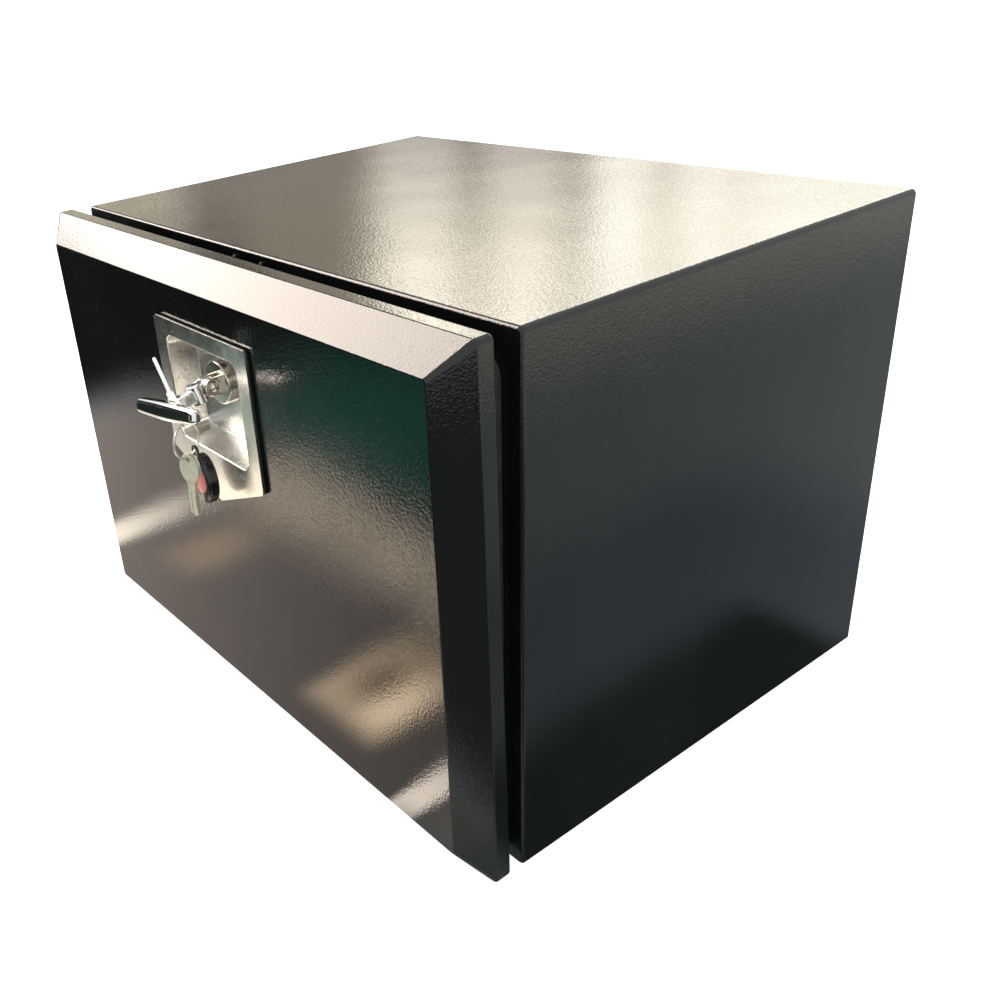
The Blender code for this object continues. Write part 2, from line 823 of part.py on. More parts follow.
dishStudPlaces = [(side * dishStudSpacing / 2, latchHeight + height)
                  for side in (-1, 1) for height in (dishRise - dishStudInset,
                                                     -dishFall + dishStudInset)]
studHoles = [rod("hole", dishStudRadius + clearance, (x, plateBack + clearance / 2, z),
                 (x, doorFront + sheet + overrun, z), None, 12) for x, z in dishStudPlaces]
studCutter = joinMeshes("stud_holes", studHoles)
boolean(doorSkin, studCutter)

# Door liner: the inner sheet, pressed back in its middle field
linerStations = [(linerMargin, linerRimFront + sheet, linerCornerRadius),
                 (linerFieldInset - linerSlope, linerRimFront + sheet, linerCornerRadius),
                 (linerFieldInset, linerBack, linerCornerRadius)]
linerRings = sheetRings(doorHalf, doorBottom, doorTop, linerCornerRadius, linerStations)
bushHole = circle(bushRadius + clearance, (0, latchHeight), 16)
doorLiner = lofted("door_liner", linerRings, blackPaint)
fillBetween(doorLiner, linerRings[-1], throughY(bushHole, linerBack))
shell(doorLiner, sheet)

# Latch dish: a pointed plate whose middle is pressed into a box
dishCorners = [(dishHalfWidth, latchHeight - dishFall), (dishHalfWidth, latchHeight + dishRise),
               (-dishHalfWidth, latchHeight + dishRise), (-dishHalfWidth, latchHeight - dishFall),
               (0, latchHeight - dishPointFall)]
dishOutline = filleted(dishCorners, [dishCornerRadius] * 4 + [dishPointRadius], 4)


def mouthRing(inset, depth, radius):
    return throughY(rectangle(mouthHalfWidth - inset, latchHeight - mouthFall + inset,
                              latchHeight + mouthRise - inset, radius, 4), depth)


mouthStations = [(-mouthLipRadius, plateFront, mouthRadius + mouthLipRadius),
                 (-mouthLipRadius * bendMiddleShare, plateFront + mouthLipRadius * bendMiddleShare,
                 mouthRadius),
                 (0, plateFront + mouthLipRadius, mouthRadius)]
wallEnd = floorFront - dishFloorRadius
mouthStations += [(dishDraft, wallEnd, mouthRadius - dishDraft / 2),
                  (dishDraft + dishFloorRadius * bendMiddleShare,
                   floorFront - dishFloorRadius * bendMiddleShare, mouthRadius - dishDraft / 2),
                  (dishDraft + dishFloorRadius, floorFront, mouthRadius - dishDraft)]
mouthRings = [mouthRing(*station) for station in mouthStations]
latchDish = lofted("latch_dish", mouthRings, polishedSteel)
fillBetween(latchDish, mouthRings[0], throughY(dishOutline, plateFront))
fillBetween(latchDish, mouthRings[-1], throughY(bushHole, floorFront))


def facesToward(item, place, direction):
    """Turns a sheet's faces so that the face nearest to a place looks along a direction."""
    near = min(item.data.polygons, key=lambda face: (face.center - Vector(place)).length)
    if near.normal.dot(Vector(direction)) < 0:
        item.data.flip_normals()


facesToward(bodyShell, (bodyHalf, bodyDepth / 2, bodyHeight / 2), (1, 0, 0))
facesToward(backPanel, (0, bodyDepth, bodyHeight / 2), (0, 1, 0))
facesToward(doorSkin, (doorHalf, (doorBack + bevelBack) / 2, bodyHeight / 2), (1, 0, 0))
facesToward(doorLiner, (doorHalf - linerMargin, linerRimFront, bodyHeight / 2), (0, 1, 0))
facesToward(latchDish, (dishHalfWidth, plateFront, latchHeight), (0, -1, 0))
facesToward(doorSeal, (bodyHalf - sealInset, sealBase - sealHeight, bodyHeight / 2), (0, -1, 0))
shell(latchDish, dishSheet)
studBack = doorFront + sheet + dishStudTail
dishStuds = [rod("stud", dishStudRadius, (x, plateFront + dishSheet / 2, z), (x, studBack, z), None, 12)
             for x, z in dishStudPlaces]
boolean(latchDish, joinMeshes("dish_studs", dishStuds), 'UNION')

# Gasket and the nuts on the dish studs
gasketCorners = [(dishHalfWidth - gasketMargin, latchHeight - dishFall),
                 (dishHalfWidth - gasketMargin, latchHeight + dishRise - gasketMargin),
                 (gasketMargin - dishHalfWidth, latchHeight + dishRise - gasketMargin),
                 (gasketMargin - dishHalfWidth, latchHeight - dishFall),
                 (0, latchHeight - dishPointFall + gasketMargin)]
gasketOutline = filleted(gasketCorners, [dishCornerRadius] * 4 + [dishPointRadius], 3)
gasketHoles = [circle(dishStudRadius + clearance, place, 12) for place in dishStudPlaces]
dishGasket = plate("dish_gasket", [gasketOutline, cutoutOutline] + gasketHoles,
                   plateBack + clearance, doorFront - clearance, 'Y', darkRubber)

nutFront = doorFront + sheet + clearance
dishNuts = []
for number, (x, z) in enumerate(dishStudPlaces, 1):
    hexagon = circle(dishNutRadius, (x, z), 6)
    bore = circle(dishStudRadius + clearance, (x, z), 12)
    dishNuts.append(plate("dish_nut_%d" % number, [hexagon, bore], nutFront,
                          nutFront + dishNutHeight, 'Y', zincSteel))

# Spindle bush and its nut: the places are heights in front of the hub's plane
bushBack = linerBack + clearance + bushNutHeight + bushTail - sheet
bushProfile = [(bushFlangeRadius, -bushFlangeBack + bushFlangeHeight),
               (bushFlangeRadius, -bushFlangeBack), (bushRadius, -bushFlangeBack),
               (bushRadius, -bushBack), (spindleRadius + clearance, -bushBack),
               (spindleRadius + clearance, -bushFlangeBack + bushFlangeHeight)]
spindleBush = placeTurned(turned("spindle_bush", bushProfile, zincSteel),
                          (0, 0, latchHeight), (0, -1, 0))
bushNut = plate("bush_nut", [circle(bushNutRadius, (0, latchHeight), 6),
                             circle(bushRadius + clearance, (0, latchHeight), 16)],
                linerBack + clearance, linerBack + clearance + bushNutHeight, 'Y', zincSteel)

ride([doorSkin, doorLiner, hingeLeafDoor, latchDish, dishGasket, spindleBush, bushNut] + dishNuts,
     doorAxis, hingePlace)
for arm, bracket, pin in (leftStay, rightStay):
    ride([bracket, pin], doorAxis, hingePlace)
for name, (arm, bracket, pin) in (("left", leftStay), ("right", rightStay)):
    stayPlace = Vector((0, *stayDoorPoint))
    stayAxis = empty("stay_axis_" + name, stayPlace, (-restAngle / 2, 0, 0), doorAxis, hingePlace)
    ride([arm], stayAxis, stayPlace)

# Hub: drum, spindle and the two ears of the fold
pawlFront = pawlStandoff
pawlBack = pawlFront + pawlThickness
washerFront = pawlBack + clearance
pawlNutFront = washerFront + washerThickness + clearance
spindleEnd = pawlNutFront + pawlNutHeight + spindleTail
hubProfile = [(0, -hubFront), (hubRadius - hubEdge, -hubFront), (hubRadius, -hubFront - hubEdge),
              (hubRadius, -hubBack), (spindleRadius, -hubBack),
              (spindleRadius, -pawlFront + clearance), (spindleNeckRadius, -pawlFront + clearance),
              (spindleNeckRadius, -spindleEnd), (0, -spindleEnd)]
hubPlace = Vector((0, hingeY, latchHeight))
latchHub = placeTurned(turned("latch_hub", hubProfile, chrome, 32), (0, 0, latchHeight), (0, -1, 0))
earInner = shankHalfWidth + clearance
earOutline = (arc((pinY, latchHeight), earRadius, pi / 2, 3 * pi / 2, 10)
              + [(hubFront + bite, latchHeight - earRadius), (hubFront + bite, latchHeight + earRadius)])
ears = []
for side in (-1, 1):
    ears.append(plate("ear", [earOutline, circle(pivotPinRadius + clearance, (pinY, latchHeight), 12)],
                      side * earInner, side * (earInner + earThickness), 'X'))
earCutter = joinMeshes("hub_ears", ears)
boolean(latchHub, earCutter, 'UNION')

pinHead = earInner + earThickness + clearance
pinDome = [(pinHeadRadius * across, pinHead + pinHeadHeight * up) for across, up in pinDomeShares]
pinProfile = [(0, pinHead + pinHeadHeight)] + pinDome
pinProfile += [(pinHeadRadius, pinHead), (pivotPinRadius, pinHead), (pivotPinRadius, -pinHead),
               (pinHeadRadius, -pinHead)]
pinProfile += [(across, -up) for across, up in reversed(pinDome)] + [(0, -pinHead - pinHeadHeight)]
pivotPin = placeTurned(turned("pivot_pin", pinProfile, chrome, 16), (0, pinY, latchHeight), (1, 0, 0))

# Pawl, washer and nut at the back of the spindle
pawlReach = openingTop - pawlTipGap - latchHeight
pawlCorners = [(pawlNoseHalfWidth, latchHeight + pawlReach),
               (-pawlNoseHalfWidth, latchHeight + pawlReach)]
lean = atan2(pawlRootRadius - pawlNoseHalfWidth, pawlReach)
pawlOutline = pawlCorners + [
    (x, latchHeight + z) for x, z in arc((0, 0), pawlRootRadius, pi - lean, 2 * pi + lean, 14)]
pawl = plate("pawl", [pawlOutline, circle(spindleNeckRadius + clearance, (0, latchHeight), 16)],
             pawlFront, pawlBack, 'Y', zincSteel)
pawlWasher = plate("pawl_washer", [circle(washerRadius, (0, latchHeight)),
                                   circle(spindleNeckRadius + clearance, (0, latchHeight), 16)],
                   washerFront, washerFront + washerThickness, 'Y', zincSteel)
pawlNut = plate("pawl_nut", [circle(pawlNutRadius, (0, latchHeight), 6),
                             circle(spindleNeckRadius + clearance, (0, latchHeight), 16)],
                pawlNutFront, pawlNutFront + pawlNutHeight, 'Y', zincSteel)
hubAxis = empty("hub_axis", hubPlace, (0, -handleTurn, 0), doorAxis, hingePlace)
ride([latchHub, pivotPin, pawl, pawlWasher, pawlNut], hubAxis, hubPlace)

# T handle: drawn straight out from its pin, which is the origin of these places
pinPlace = Vector((0, pinY, latchHeight))
foldAxis = empty("fold_axis", pinPlace, (handleDroop, 0, 0), hubAxis, hubPlace)
shankMeet = atan2(shankHalfHeight, -sqrt(earRadius ** 2 - shankHalfHeight ** 2))
shankOutline = (arc((0, 0), earRadius, shankMeet, -shankMeet, 14)
                + [(-handleReach, -shankHalfHeight), (-handleReach, shankHalfHeight)])
tHandle = plate("t_handle", [shankOutline], -shankHalfWidth, shankHalfWidth, 'X', chrome)
softEdge(tHandle, shankEdge)


def barRing(share, size):
    section = rectangle(barHalfThickness * size, -barHalfHeight * size, barHalfHeight * size,
                        barHalfThickness * size * barCornerShare, 3)
    return [(share * barHalfLength, a - handleReach, b) for a, b in section]


barTable = list(zip(barPlaceShares, barSizeShares))
barRings = [barRing(-share, size) for share, size in reversed(barTable[1:])]
barRings += [barRing(share, size) for share, size in barTable]
boolean(tHandle, lofted("crossbar", barRings, capped=True), 'UNION')
bossTop = shankHalfHeight + bossRise
boolean(tHandle, rod("lock_housing", bossRadius, (0, -bossReach, -shankHalfHeight - bossFall),
                     (0, -bossReach, bossTop)), 'UNION')
plugTop = bossTop - plugSink
plugFoot = plugTop - plugLength
handleHoles = [rod("pin_hole", pivotPinRadius + clearance, (-hubRadius, 0, 0), (hubRadius, 0, 0), None, 16),
               rod("plug_hole", plugRadius + clearance, (0, -bossReach, plugFoot - clearance),
                   (0, -bossReach, bossTop + overrun))]
boolean(tHandle, joinMeshes("handle_holes", handleHoles))

lockPlace = Vector((0, -bossReach, plugTop))
lockAxis = empty("lock_axis", lockPlace, (0, 0, 0), foldAxis)
lockPlug = rod("lock_plug", plugRadius, (0, -bossReach, plugFoot), (0, -bossReach, plugTop), chrome)
boolean(lockPlug, box("keyway", (-keywayLength / 2, -bossReach - keywayWidth / 2, plugTop - keywayDepth),
                      (keywayLength / 2, -bossReach + keywayWidth / 2, plugTop + overrun)))


# Cable tie: a strap round the shank, long enough for the ring to hang in
def grown(corners, distance):
    """The corners of an outline moved outward so that each side moves by a distance."""
    moved = []
    count = len(corners)
    middle = sum((Vector(corner) for corner in corners), Vector((0, 0))) / count
    for index, corner in enumerate(corners):
        here = Vector(corner)
        before = (Vector(corners[index - 1]) - here).normalized()
        after = (Vector(corners[(index + 1) % count]) - here).normalized()
        outward = -(before + after).normalized()
        if outward.dot(here - middle) < 0:
            outward = -outward
        moved.append(tuple(here + outward * (distance / sin(before.angle(after) / 2))))
    return moved


tieTop = shankHalfHeight + clearance
tieSide = shankHalfWidth + clearance
tieLow = -(ringHang + ringWire + ringSlack)
tieCorners = [(tieSide, tieTop), (-tieSide, tieTop), (-tieSide, -shankHalfHeight),
              (-tieBottomHalfWidth, tieLow), (tieBottomHalfWidth, tieLow), (tieSide, -shankHalfHeight)]
tieInner = filleted(tieCorners, [tieFillet] * 6, 3)
tieOuter = filleted(grown(tieCorners, tieThickness), [tieFillet + tieThickness] * 6, 3)
cableTie = plate("cable_tie", [tieOuter, tieInner], -tieReach - tieWidth / 2,
                 -tieReach + tieWidth / 2, 'Y', whiteNylon)
headLow = tieTop + tieThickness / 2
headTop = headLow + tieHeadHeight
boolean(cableTie, box("tie_head", (-tieHeadWidth / 2, -tieReach - tieHeadLength / 2, headLow),
                      (tieHeadWidth / 2, -tieReach + tieHeadLength / 2, headTop)), 'UNION')
boolean(cableTie, box("tie_tail", (-tieThickness / 2, -tieReach - tieWidth / 2 + clearance,
                                   headTop - bite),
                      (tieThickness / 2, -tieReach + tieWidth / 2 - clearance,
                       headTop + tieTailLength)), 'UNION')
ride([tHandle, cableTie], foldAxis, (0, 0, 0))
ride([lockPlug], lockAxis, lockPlace)

# Ring, keys and fob hang plumb, so their places are given in the world
bpy.context.view_layer.update()
handleWorld = foldAxis.matrix_world.copy()
hangPoint = handleWorld @ Vector((0, -tieReach, -ringHang))
ringCentre = hangPoint - Vector((0, 0, ringRadius))
ringForward = Vector((sin(ringYaw), -cos(ringYaw), 0))


def hangIn(item, parent):
    """Keeps an item's own location and rotation as world values under a posed parent."""
    bpy.context.view_layer.update()
    item.parent = parent
    item.matrix_parent_inverse = parent.matrix_world.inverted()


def plumbEmpty(name, place, parent):
    made = bpy.data.objects.new(name, None)
    parts.objects.link(made)
    made.empty_display_size = ringRadius / 2
    made.location = place
    hangIn(made, parent)
    return made


ringAxis = plumbEmpty("ring_axis", hangPoint, foldAxis)
bpy.ops.mesh.primitive_torus_add(major_radius=ringRadius, minor_radius=ringWire,
                                 major_segments=40, minor_segments=8)
keyRing = bpy.context.object
keyRing.name = "key_ring"
keyRing.data.name = "key_ring"
for held in list(keyRing.users_collection):
    held.objects.unlink(keyRing)
parts.objects.link(keyRing)
keyRing.data.materials.append(zincSteel)
keyRing.location = ringCentre
keyRing.rotation_euler = (0, pi / 2, ringYaw)
hangIn(keyRing, ringAxis)
keysAxis = plumbEmpty("keys_axis", ringCentre, ringAxis)

ringLow = ringCentre - Vector((0, 0, ringRadius))
keyTop = keyHoleFromTop
keyTip = keyTop - keyLength
bowMiddle = keyTop - keyBowHeight / 2
bladeMeet = -atan2(sqrt(keyBowHalfWidth ** 2 - (keyBladeWidth / 2) ** 2), keyBladeWidth / 2)
bow = [(keyBowHalfWidth * cos(angle), bowMiddle + keyBowHeight / 2 * sin(angle))
       for angle in [bladeMeet + (pi - 2 * bladeMeet) * step / 22 for step in range(23)]]
toothRun = (keyLength - keyBowHeight) / (len(keyToothShares) + 1)
keyOutline = bow + [(-keyBladeWidth / 2, keyTip + toothRun), (-keyBladeWidth / 8, keyTip)]
for index, share in enumerate(reversed(keyToothShares)):
    keyOutline.append((keyBladeWidth / 2 - keyToothDepth * share, keyTip + toothRun * (index + 1 / 2)))


def keyPiece(name, side):
    hole = circle(keyHoleRadius, (0, 0), 14)
    key = plate(name, [keyOutline, hole], -keyThickness / 2, keyThickness / 2, 'Y', nickelKey)
    drop = keyHoleRadius - ringWire - keyHang
    key.location = ringLow + ringForward * side * (keyThickness / 2 + clearance) - Vector((0, 0, drop))
    key.rotation_euler = (0, 0, ringYaw)
    hangIn(key, keysAxis)
    return key


keyPiece("key_1", 1)
keyPiece("key_2", -1)

# Fob: an oval body with a lug for the ring and a shallow seat for its inset
fobEye = (ringCentre - ringForward * ringRadius * sin(fobRingAngle)
          - Vector((0, 0, ringRadius * cos(fobRingAngle) + fobHoleSlack)))
fobMiddle = -(fobHalfHeight + fobLugLength - fobLugHalfWidth)
fobFront = fobLugOffset - fobThickness / 2
fobBack = fobLugOffset + fobThickness / 2


def oval(halfWidth, halfHeight, middle, sides=28):
    return [(halfWidth * cos(2 * pi * side / sides), middle + halfHeight * sin(2 * pi * side / sides))
            for side in range(sides)]


fobAxis = plumbEmpty("fob_axis", fobEye, keysAxis)
keyFob = plate("key_fob", [oval(fobHalfWidth, fobHalfHeight, fobMiddle)], fobFront, fobBack, 'Y',
               blackPlastic)
softEdge(keyFob, fobEdge, 3)
lugOutline = [(b, a) for a, b in capsule(fobMiddle + fobHalfHeight * fobLugRootShare, 0,
                                           fobLugHalfWidth)]
boolean(keyFob, plate("fob_lug", [lugOutline], -fobLugThickness / 2, fobLugThickness / 2, 'Y'), 'UNION')
fobCuts = [rod("fob_hole", fobHoleRadius, (0, -fobThickness, 0), (0, fobThickness, 0), None, 16),
           plate("fob_seat", [oval(fobInsetHalfWidth + clearance, fobInsetHalfHeight + clearance,
                                   fobMiddle, 24)],
                 fobFront - overrun, fobFront + fobInsetDepth + clearance, 'Y')]
boolean(keyFob, joinMeshes("fob_cuts", fobCuts))
fobInset = plate("fob_inset", [oval(fobInsetHalfWidth, fobInsetHalfHeight, fobMiddle, 24)],
                 fobFront - fobInsetRise, fobFront + fobInsetDepth, 'Y', pinkResin)
for item in (keyFob, fobInset):
    item.location = fobEye
    item.rotation_euler = (0, -fobLean, 0)
    hangIn(item, fobAxis)

# The origin moves to the middle of the whole object's foot, in the pose that it now has
bpy.context.view_layer.update()
depsgraph = bpy.context.evaluated_depsgraph_get()
low = Vector((bodyWidth, bodyWidth, bodyWidth))
high = -low
for item in parts.objects:
    if item.type == 'MESH':
        for vertex in item.evaluated_get(depsgraph).data.vertices:
            place = item.matrix_world @ vertex.co
            low = Vector([min(pair) for pair in zip(low, place)])
            high = Vector([max(pair) for pair in zip(high, place)])
toFoot = Vector((0, -(low.y + high.y) / 2, -low.z))
for item in parts.objects:
    if not item.parent:
        item.matrix_basis = Matrix.Translation(toFoot) @ item.matrix_basis
bpy.context.view_layer.update()
print("moved", [round(value, 6) for value in toFoot])
for item in parts.objects:
    if item.type == 'EMPTY':
        print("axis", item.name, [round(value, 6) for value in item.matrix_world.translation])
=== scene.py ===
# Underbody truck tool box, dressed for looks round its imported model.
# Pieces are drawn in metres with the door shut and the body's front face at Y = 0, then posed.

import bpy
import bmesh
from math import atan2, cos, pi, radians, sin, sqrt, tan
from mathutils import Matrix, Vector


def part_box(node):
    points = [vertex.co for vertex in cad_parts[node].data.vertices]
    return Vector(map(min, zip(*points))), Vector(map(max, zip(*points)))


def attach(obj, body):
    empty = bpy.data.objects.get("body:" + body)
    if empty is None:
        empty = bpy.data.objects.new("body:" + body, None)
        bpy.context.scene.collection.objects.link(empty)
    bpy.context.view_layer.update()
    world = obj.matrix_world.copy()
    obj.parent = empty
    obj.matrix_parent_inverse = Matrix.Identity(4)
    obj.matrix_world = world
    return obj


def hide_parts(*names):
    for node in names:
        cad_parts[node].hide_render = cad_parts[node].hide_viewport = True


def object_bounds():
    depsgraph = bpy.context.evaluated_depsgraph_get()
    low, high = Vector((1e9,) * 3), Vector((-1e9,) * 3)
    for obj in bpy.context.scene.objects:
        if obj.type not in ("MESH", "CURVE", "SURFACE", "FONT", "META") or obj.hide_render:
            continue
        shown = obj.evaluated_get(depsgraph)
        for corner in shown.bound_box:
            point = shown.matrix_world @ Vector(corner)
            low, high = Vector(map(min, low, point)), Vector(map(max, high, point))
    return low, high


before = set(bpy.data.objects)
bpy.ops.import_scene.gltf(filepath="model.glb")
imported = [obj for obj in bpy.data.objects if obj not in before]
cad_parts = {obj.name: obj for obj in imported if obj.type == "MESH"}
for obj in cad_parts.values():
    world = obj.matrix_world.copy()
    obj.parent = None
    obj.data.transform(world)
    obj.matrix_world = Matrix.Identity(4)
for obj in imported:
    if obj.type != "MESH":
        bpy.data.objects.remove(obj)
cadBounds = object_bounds()
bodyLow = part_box("body_shell")[0]
toWorld = Matrix.Translation((0, bodyLow.y, bodyLow.z))
print("frame loaded")


# Small tools

def toLinear(code):
    channels = [int(code[start:start + 2], 16) / 255 for start in (1, 3, 5)]
    bent = [((channel + 0.055) / 1.055) ** 2.4 if channel > 0.04045 else channel / 12.92
            for channel in channels]
    return (*bent, 1.0)


def addNode(tree, kind, sockets=None, **settings):
    node = tree.nodes.new(kind)
    for name, value in settings.items():
        setattr(node, name, value)
    for name, value in (sockets or {}).items():
        if isinstance(value, bpy.types.NodeSocket):
            tree.links.new(value, node.inputs[name])
        else:
            node.inputs[name].default_value = value
    return node


def newMaterial(name, colour, roughness, metallic=0.0):
    made = bpy.data.materials.new(name)
    made.use_nodes = True
    shader = made.node_tree.nodes["Principled BSDF"]
    shader.inputs["Base Color"].default_value = toLinear(colour)
    shader.inputs["Roughness"].default_value = roughness
    shader.inputs["Metallic"].default_value = metallic
    made.diffuse_color = toLinear(colour)
    return made, made.node_tree, shader


# Camera: solved from the box's corners in the photograph
cameraView = {"place": (0.73594, -0.44446, 0.64542), "azimuth": 57.5458, "elevation": 24.9117,
              "roll": -5.7950, "lens": 38.36, "shift": (0.2069, -0.0430)}


def addCamera():
    azimuth, elevation, roll = [radians(cameraView[key]) for key in ("azimuth", "elevation", "roll")]
    forward = Vector((-sin(azimuth) * cos(elevation), cos(azimuth) * cos(elevation), -sin(elevation)))
    level = Vector((cos(azimuth), sin(azimuth), 0))
    above = level.cross(forward)
    right = level * cos(roll) + above * sin(roll)
    up = above * cos(roll) - level * sin(roll)
    data = bpy.data.cameras.new("camera")
    data.lens = cameraView["lens"]
    data.sensor_width = 36
    data.sensor_fit = 'HORIZONTAL'
    data.shift_x, data.shift_y = cameraView["shift"]
    data.clip_start = 0.01
    holder = bpy.data.objects.new("camera", data)
    bpy.context.scene.collection.objects.link(holder)
    turn = Matrix((right, up, -forward)).transposed().to_4x4()
    holder.matrix_world = toWorld @ Matrix.Translation(cameraView["place"]) @ turn
    bpy.context.scene.camera = holder


addCamera()
bpy.context.scene.view_settings.view_transform = 'Standard'

# Light: a pale room with three large soft lamps, which reflections don't show
roomLight = {"background": 1.0, "fill": 0.55, "floorGlow": 0.80, "floorSize": 60}
lamps = {
    "lamp_left_front": {"place": (-2.05, -0.95, 1.20), "aim": (0, -0.04, 0.36), "size": (1.5, 1.0),
                        "power": 60, "colour": "#fffaf0"},
    "lamp_left_back": {"place": (-1.75, 2.05, 1.60), "aim": (0.1, 0.2, 0.434), "size": (1.7, 1.0),
                       "power": 40, "colour": "#fff6e8"},
    "lamp_right": {"place": (2.4, -0.3, 1.5), "aim": (0.3, 0.2, 0.2), "size": (1.2, 1.2),
                   "power": 60, "colour": "#f4f8ff"},
}
# Soft-edged cards that only reflections show: the floor and the workshop that the gloss mirrors.
# Lying cards: centre, size, turn in degrees, colour, brightness at the near and the far end, the share
# of the width and of the length that fades out, and how much streaks across it vary.
floorCards = {
    "floor_dark_behind": ((-6.0, 6.4), (12.0, 11.4), 0, "#4a4842", (1.0, 1.0), (0.01, 0.02), 0),
    "floor_dark_front": ((-1.25, -1.37), (3.4, 2.0), 0, "#2b302d", (1.0, 1.0), (0.05, 0.02), 0),
    "floor_grey": ((-0.26, -0.13), (0.5, 1.18), -90, "#ffefe3", (1.22, 0.38), (0.03, 0.1), 0),
    "floor_dark_left": ((-1.87, -0.4), (2.2, 1.2), 0, "#252a28", (1.0, 1.0), (0.08, 0.05), 0),
    "floor_grey_corner": ((0.27, -0.05), (0.16, 0.16), 0, "#c8bfb6", (1.15, 1.15), (0.3, 0.2), 0),
    "floor_green_front": ((-0.42, -0.585), (0.98, 0.43), 0, "#52ac98", (1.0, 1.0), (0.46, 0.13), 0),
    "floor_band_far": ((-0.2, -0.315), (0.54, 0.135), 0, "#ffead0", (4.1, 4.1), (0.1, 0.46), 0.45),
    "floor_strip_left": ((-0.42, -0.12), (0.078, 0.26), 0, "#fff1de", (2.8, 6.4), (0.32, 0.12), 0),
    "floor_patch_brown": ((-0.29, -0.172), (0.13, 0.15), 0, "#ffe2c6", (1.8, 1.6), (0.4, 0.3), 0),
    # These bright cards are patches of sunlight on the floor, painted in as glowing cards for the gloss to
    # mirror
    "floor_patch_warm": ((0.064, -0.157), (0.135, 0.155), 0, "#ffe1bd", (2.9, 2.9), (0.2, 0.18), 0),
    "floor_patch_bright": ((0.09, -0.147), (0.06, 0.11), 0, "#ffe2bf", (5.6, 5.6), (0.4, 0.35), 0),
    "floor_patch_dip": ((0.05, -0.158), (0.072, 0.09), 0, "#ffddb8", (0.4, 0.4), (0.5, 0.5), 0),
    "floor_strip_near": ((0.194, -0.05), (0.036, 0.19), 0, "#ffefde", (6.0, 6.0), (0.25, 0.1), 0),
    "floor_glint": ((-0.655, -0.5), (0.085, 0.055), 0, "#fff3dd", (2.2, 2.2), (0.5, 0.5), 0),
    # The right-hand cards, darkest next to the box and paler further out, are the box's shadow on the
    # floor, painted in as dark cards for the side to mirror
    "floor_right_far": ((1.1, 1.17), (1.9, 2.5), 0, "#b5bfc1", (1.0, 1.0), (0.05, 0.01), 0),
    "floor_right_glow": ((1.7, 1.17), (1.5, 2.5), 0, "#ffffea", (1.25, 1.25), (0.14, 0.01), 0),
    "floor_right_mid": ((0.45, 0.38), (0.46, 1.0), 0, "#8a949a", (1.0, 1.0), (0.2, 0.32), 0),
    "floor_right_near": ((0.315, 0.215), (0.25, 0.51), 0, "#3a4041", (1.0, 1.0), (0.22, 0.12), 0),
    "floor_front_right": ((0.73, -0.5), (0.85, 0.95), 0, "#686a62", (1.0, 1.0), (0.08, 0.06), 0),
}
# Standing cards, by the directions that they fill as seen from the lid: azimuth, width and lower and
# upper elevation in degrees, distance, colour, brightness below and above, and the fading shares
wallCards = {
    "wall_dark_left": (218, 82.8, (-9.7, 9.8), 3.4, "#24292a", (1.0, 1.0), (0.05, 0.1)),
    "wall_window_left": (209, 41.0, (10.5, 63.0), 2.4, "#fff0e4", (14.5, 14.5), (0.08, 0.09)),
    "wall_dark_low": (132, 66, (-1.2, 6.6), 21.4, "#57544c", (1.0, 1.0), (0.03, 0.12)),
    "wall_dim_left": (156.5, 11, (5, 24), 21.0, "#fff4da", (1.25, 1.25), (0.2, 0.03)),
    "wall_dim": (146.4, 12.4, (7, 26), 20.6, "#fff1d6", (0.36, 1.5), (0.1, 0.03)),
    "wall_pale_right": (116.0, 31, (7, 26), 20.4, "#fffbeb", (1.6, 8.0), (0.01, 0.03)),
    "wall_pale_left": (136.0, 12.6, (8.6, 26), 20.2, "#fff5e2", (0.3, 9.8), (0.09, 0.03)),
    "wall_post_far": (122.5, 1.6, (7, 26), 20.0, "#fff5e2", (1.3, 6.6), (0.45, 0.03)),
    "wall_post_right": (126.1, 2.4, (7, 26), 20.0, "#fff3de", (1.0, 5.8), (0.45, 0.03)),
    "wall_post_middle": (130.6, 2.6, (7, 26), 20.0, "#fff3de", (0.1, 4.6), (0.45, 0.03)),
    "wall_post_left": (136.2, 2.5, (7, 26), 20.0, "#fff3db", (0.0, 4.6), (0.45, 0.03)),
    "wall_dark_high": (153.0, 9.4, (14.8, 27), 19.8, "#433f38", (1.0, 1.0), (0.18, 0.06)),
}
cardPlace = {"drop": 0.0003, "eye": 0.434, "streakScale": 13.0}


def addRoom():
    world = bpy.data.worlds.new("pale_room")
    bpy.context.scene.world = world
    world.use_nodes = True
    tree = world.node_tree
    tree.nodes.clear()
    path = addNode(tree, "ShaderNodeLightPath")
    seen = addNode(tree, "ShaderNodeMath", {0: path.outputs["Is Camera Ray"],
                                            1: path.outputs["Is Glossy Ray"]}, operation='ADD')
    seen = addNode(tree, "ShaderNodeMath", {0: seen.outputs[0], 1: path.outputs["Is Transmission Ray"]},
                   operation='ADD', use_clamp=True)
    white, fill = [addNode(tree, "ShaderNodeBackground", {"Color": (1, 1, 1, 1),
                                                          "Strength": roomLight[use]})
                   for use in ("background", "fill")]
    mix = addNode(tree, "ShaderNodeMixShader", {0: seen.outputs[0], 1: fill.outputs[0],
                                                2: white.outputs[0]})
    addNode(tree, "ShaderNodeOutputWorld", {"Surface": mix.outputs[0]})


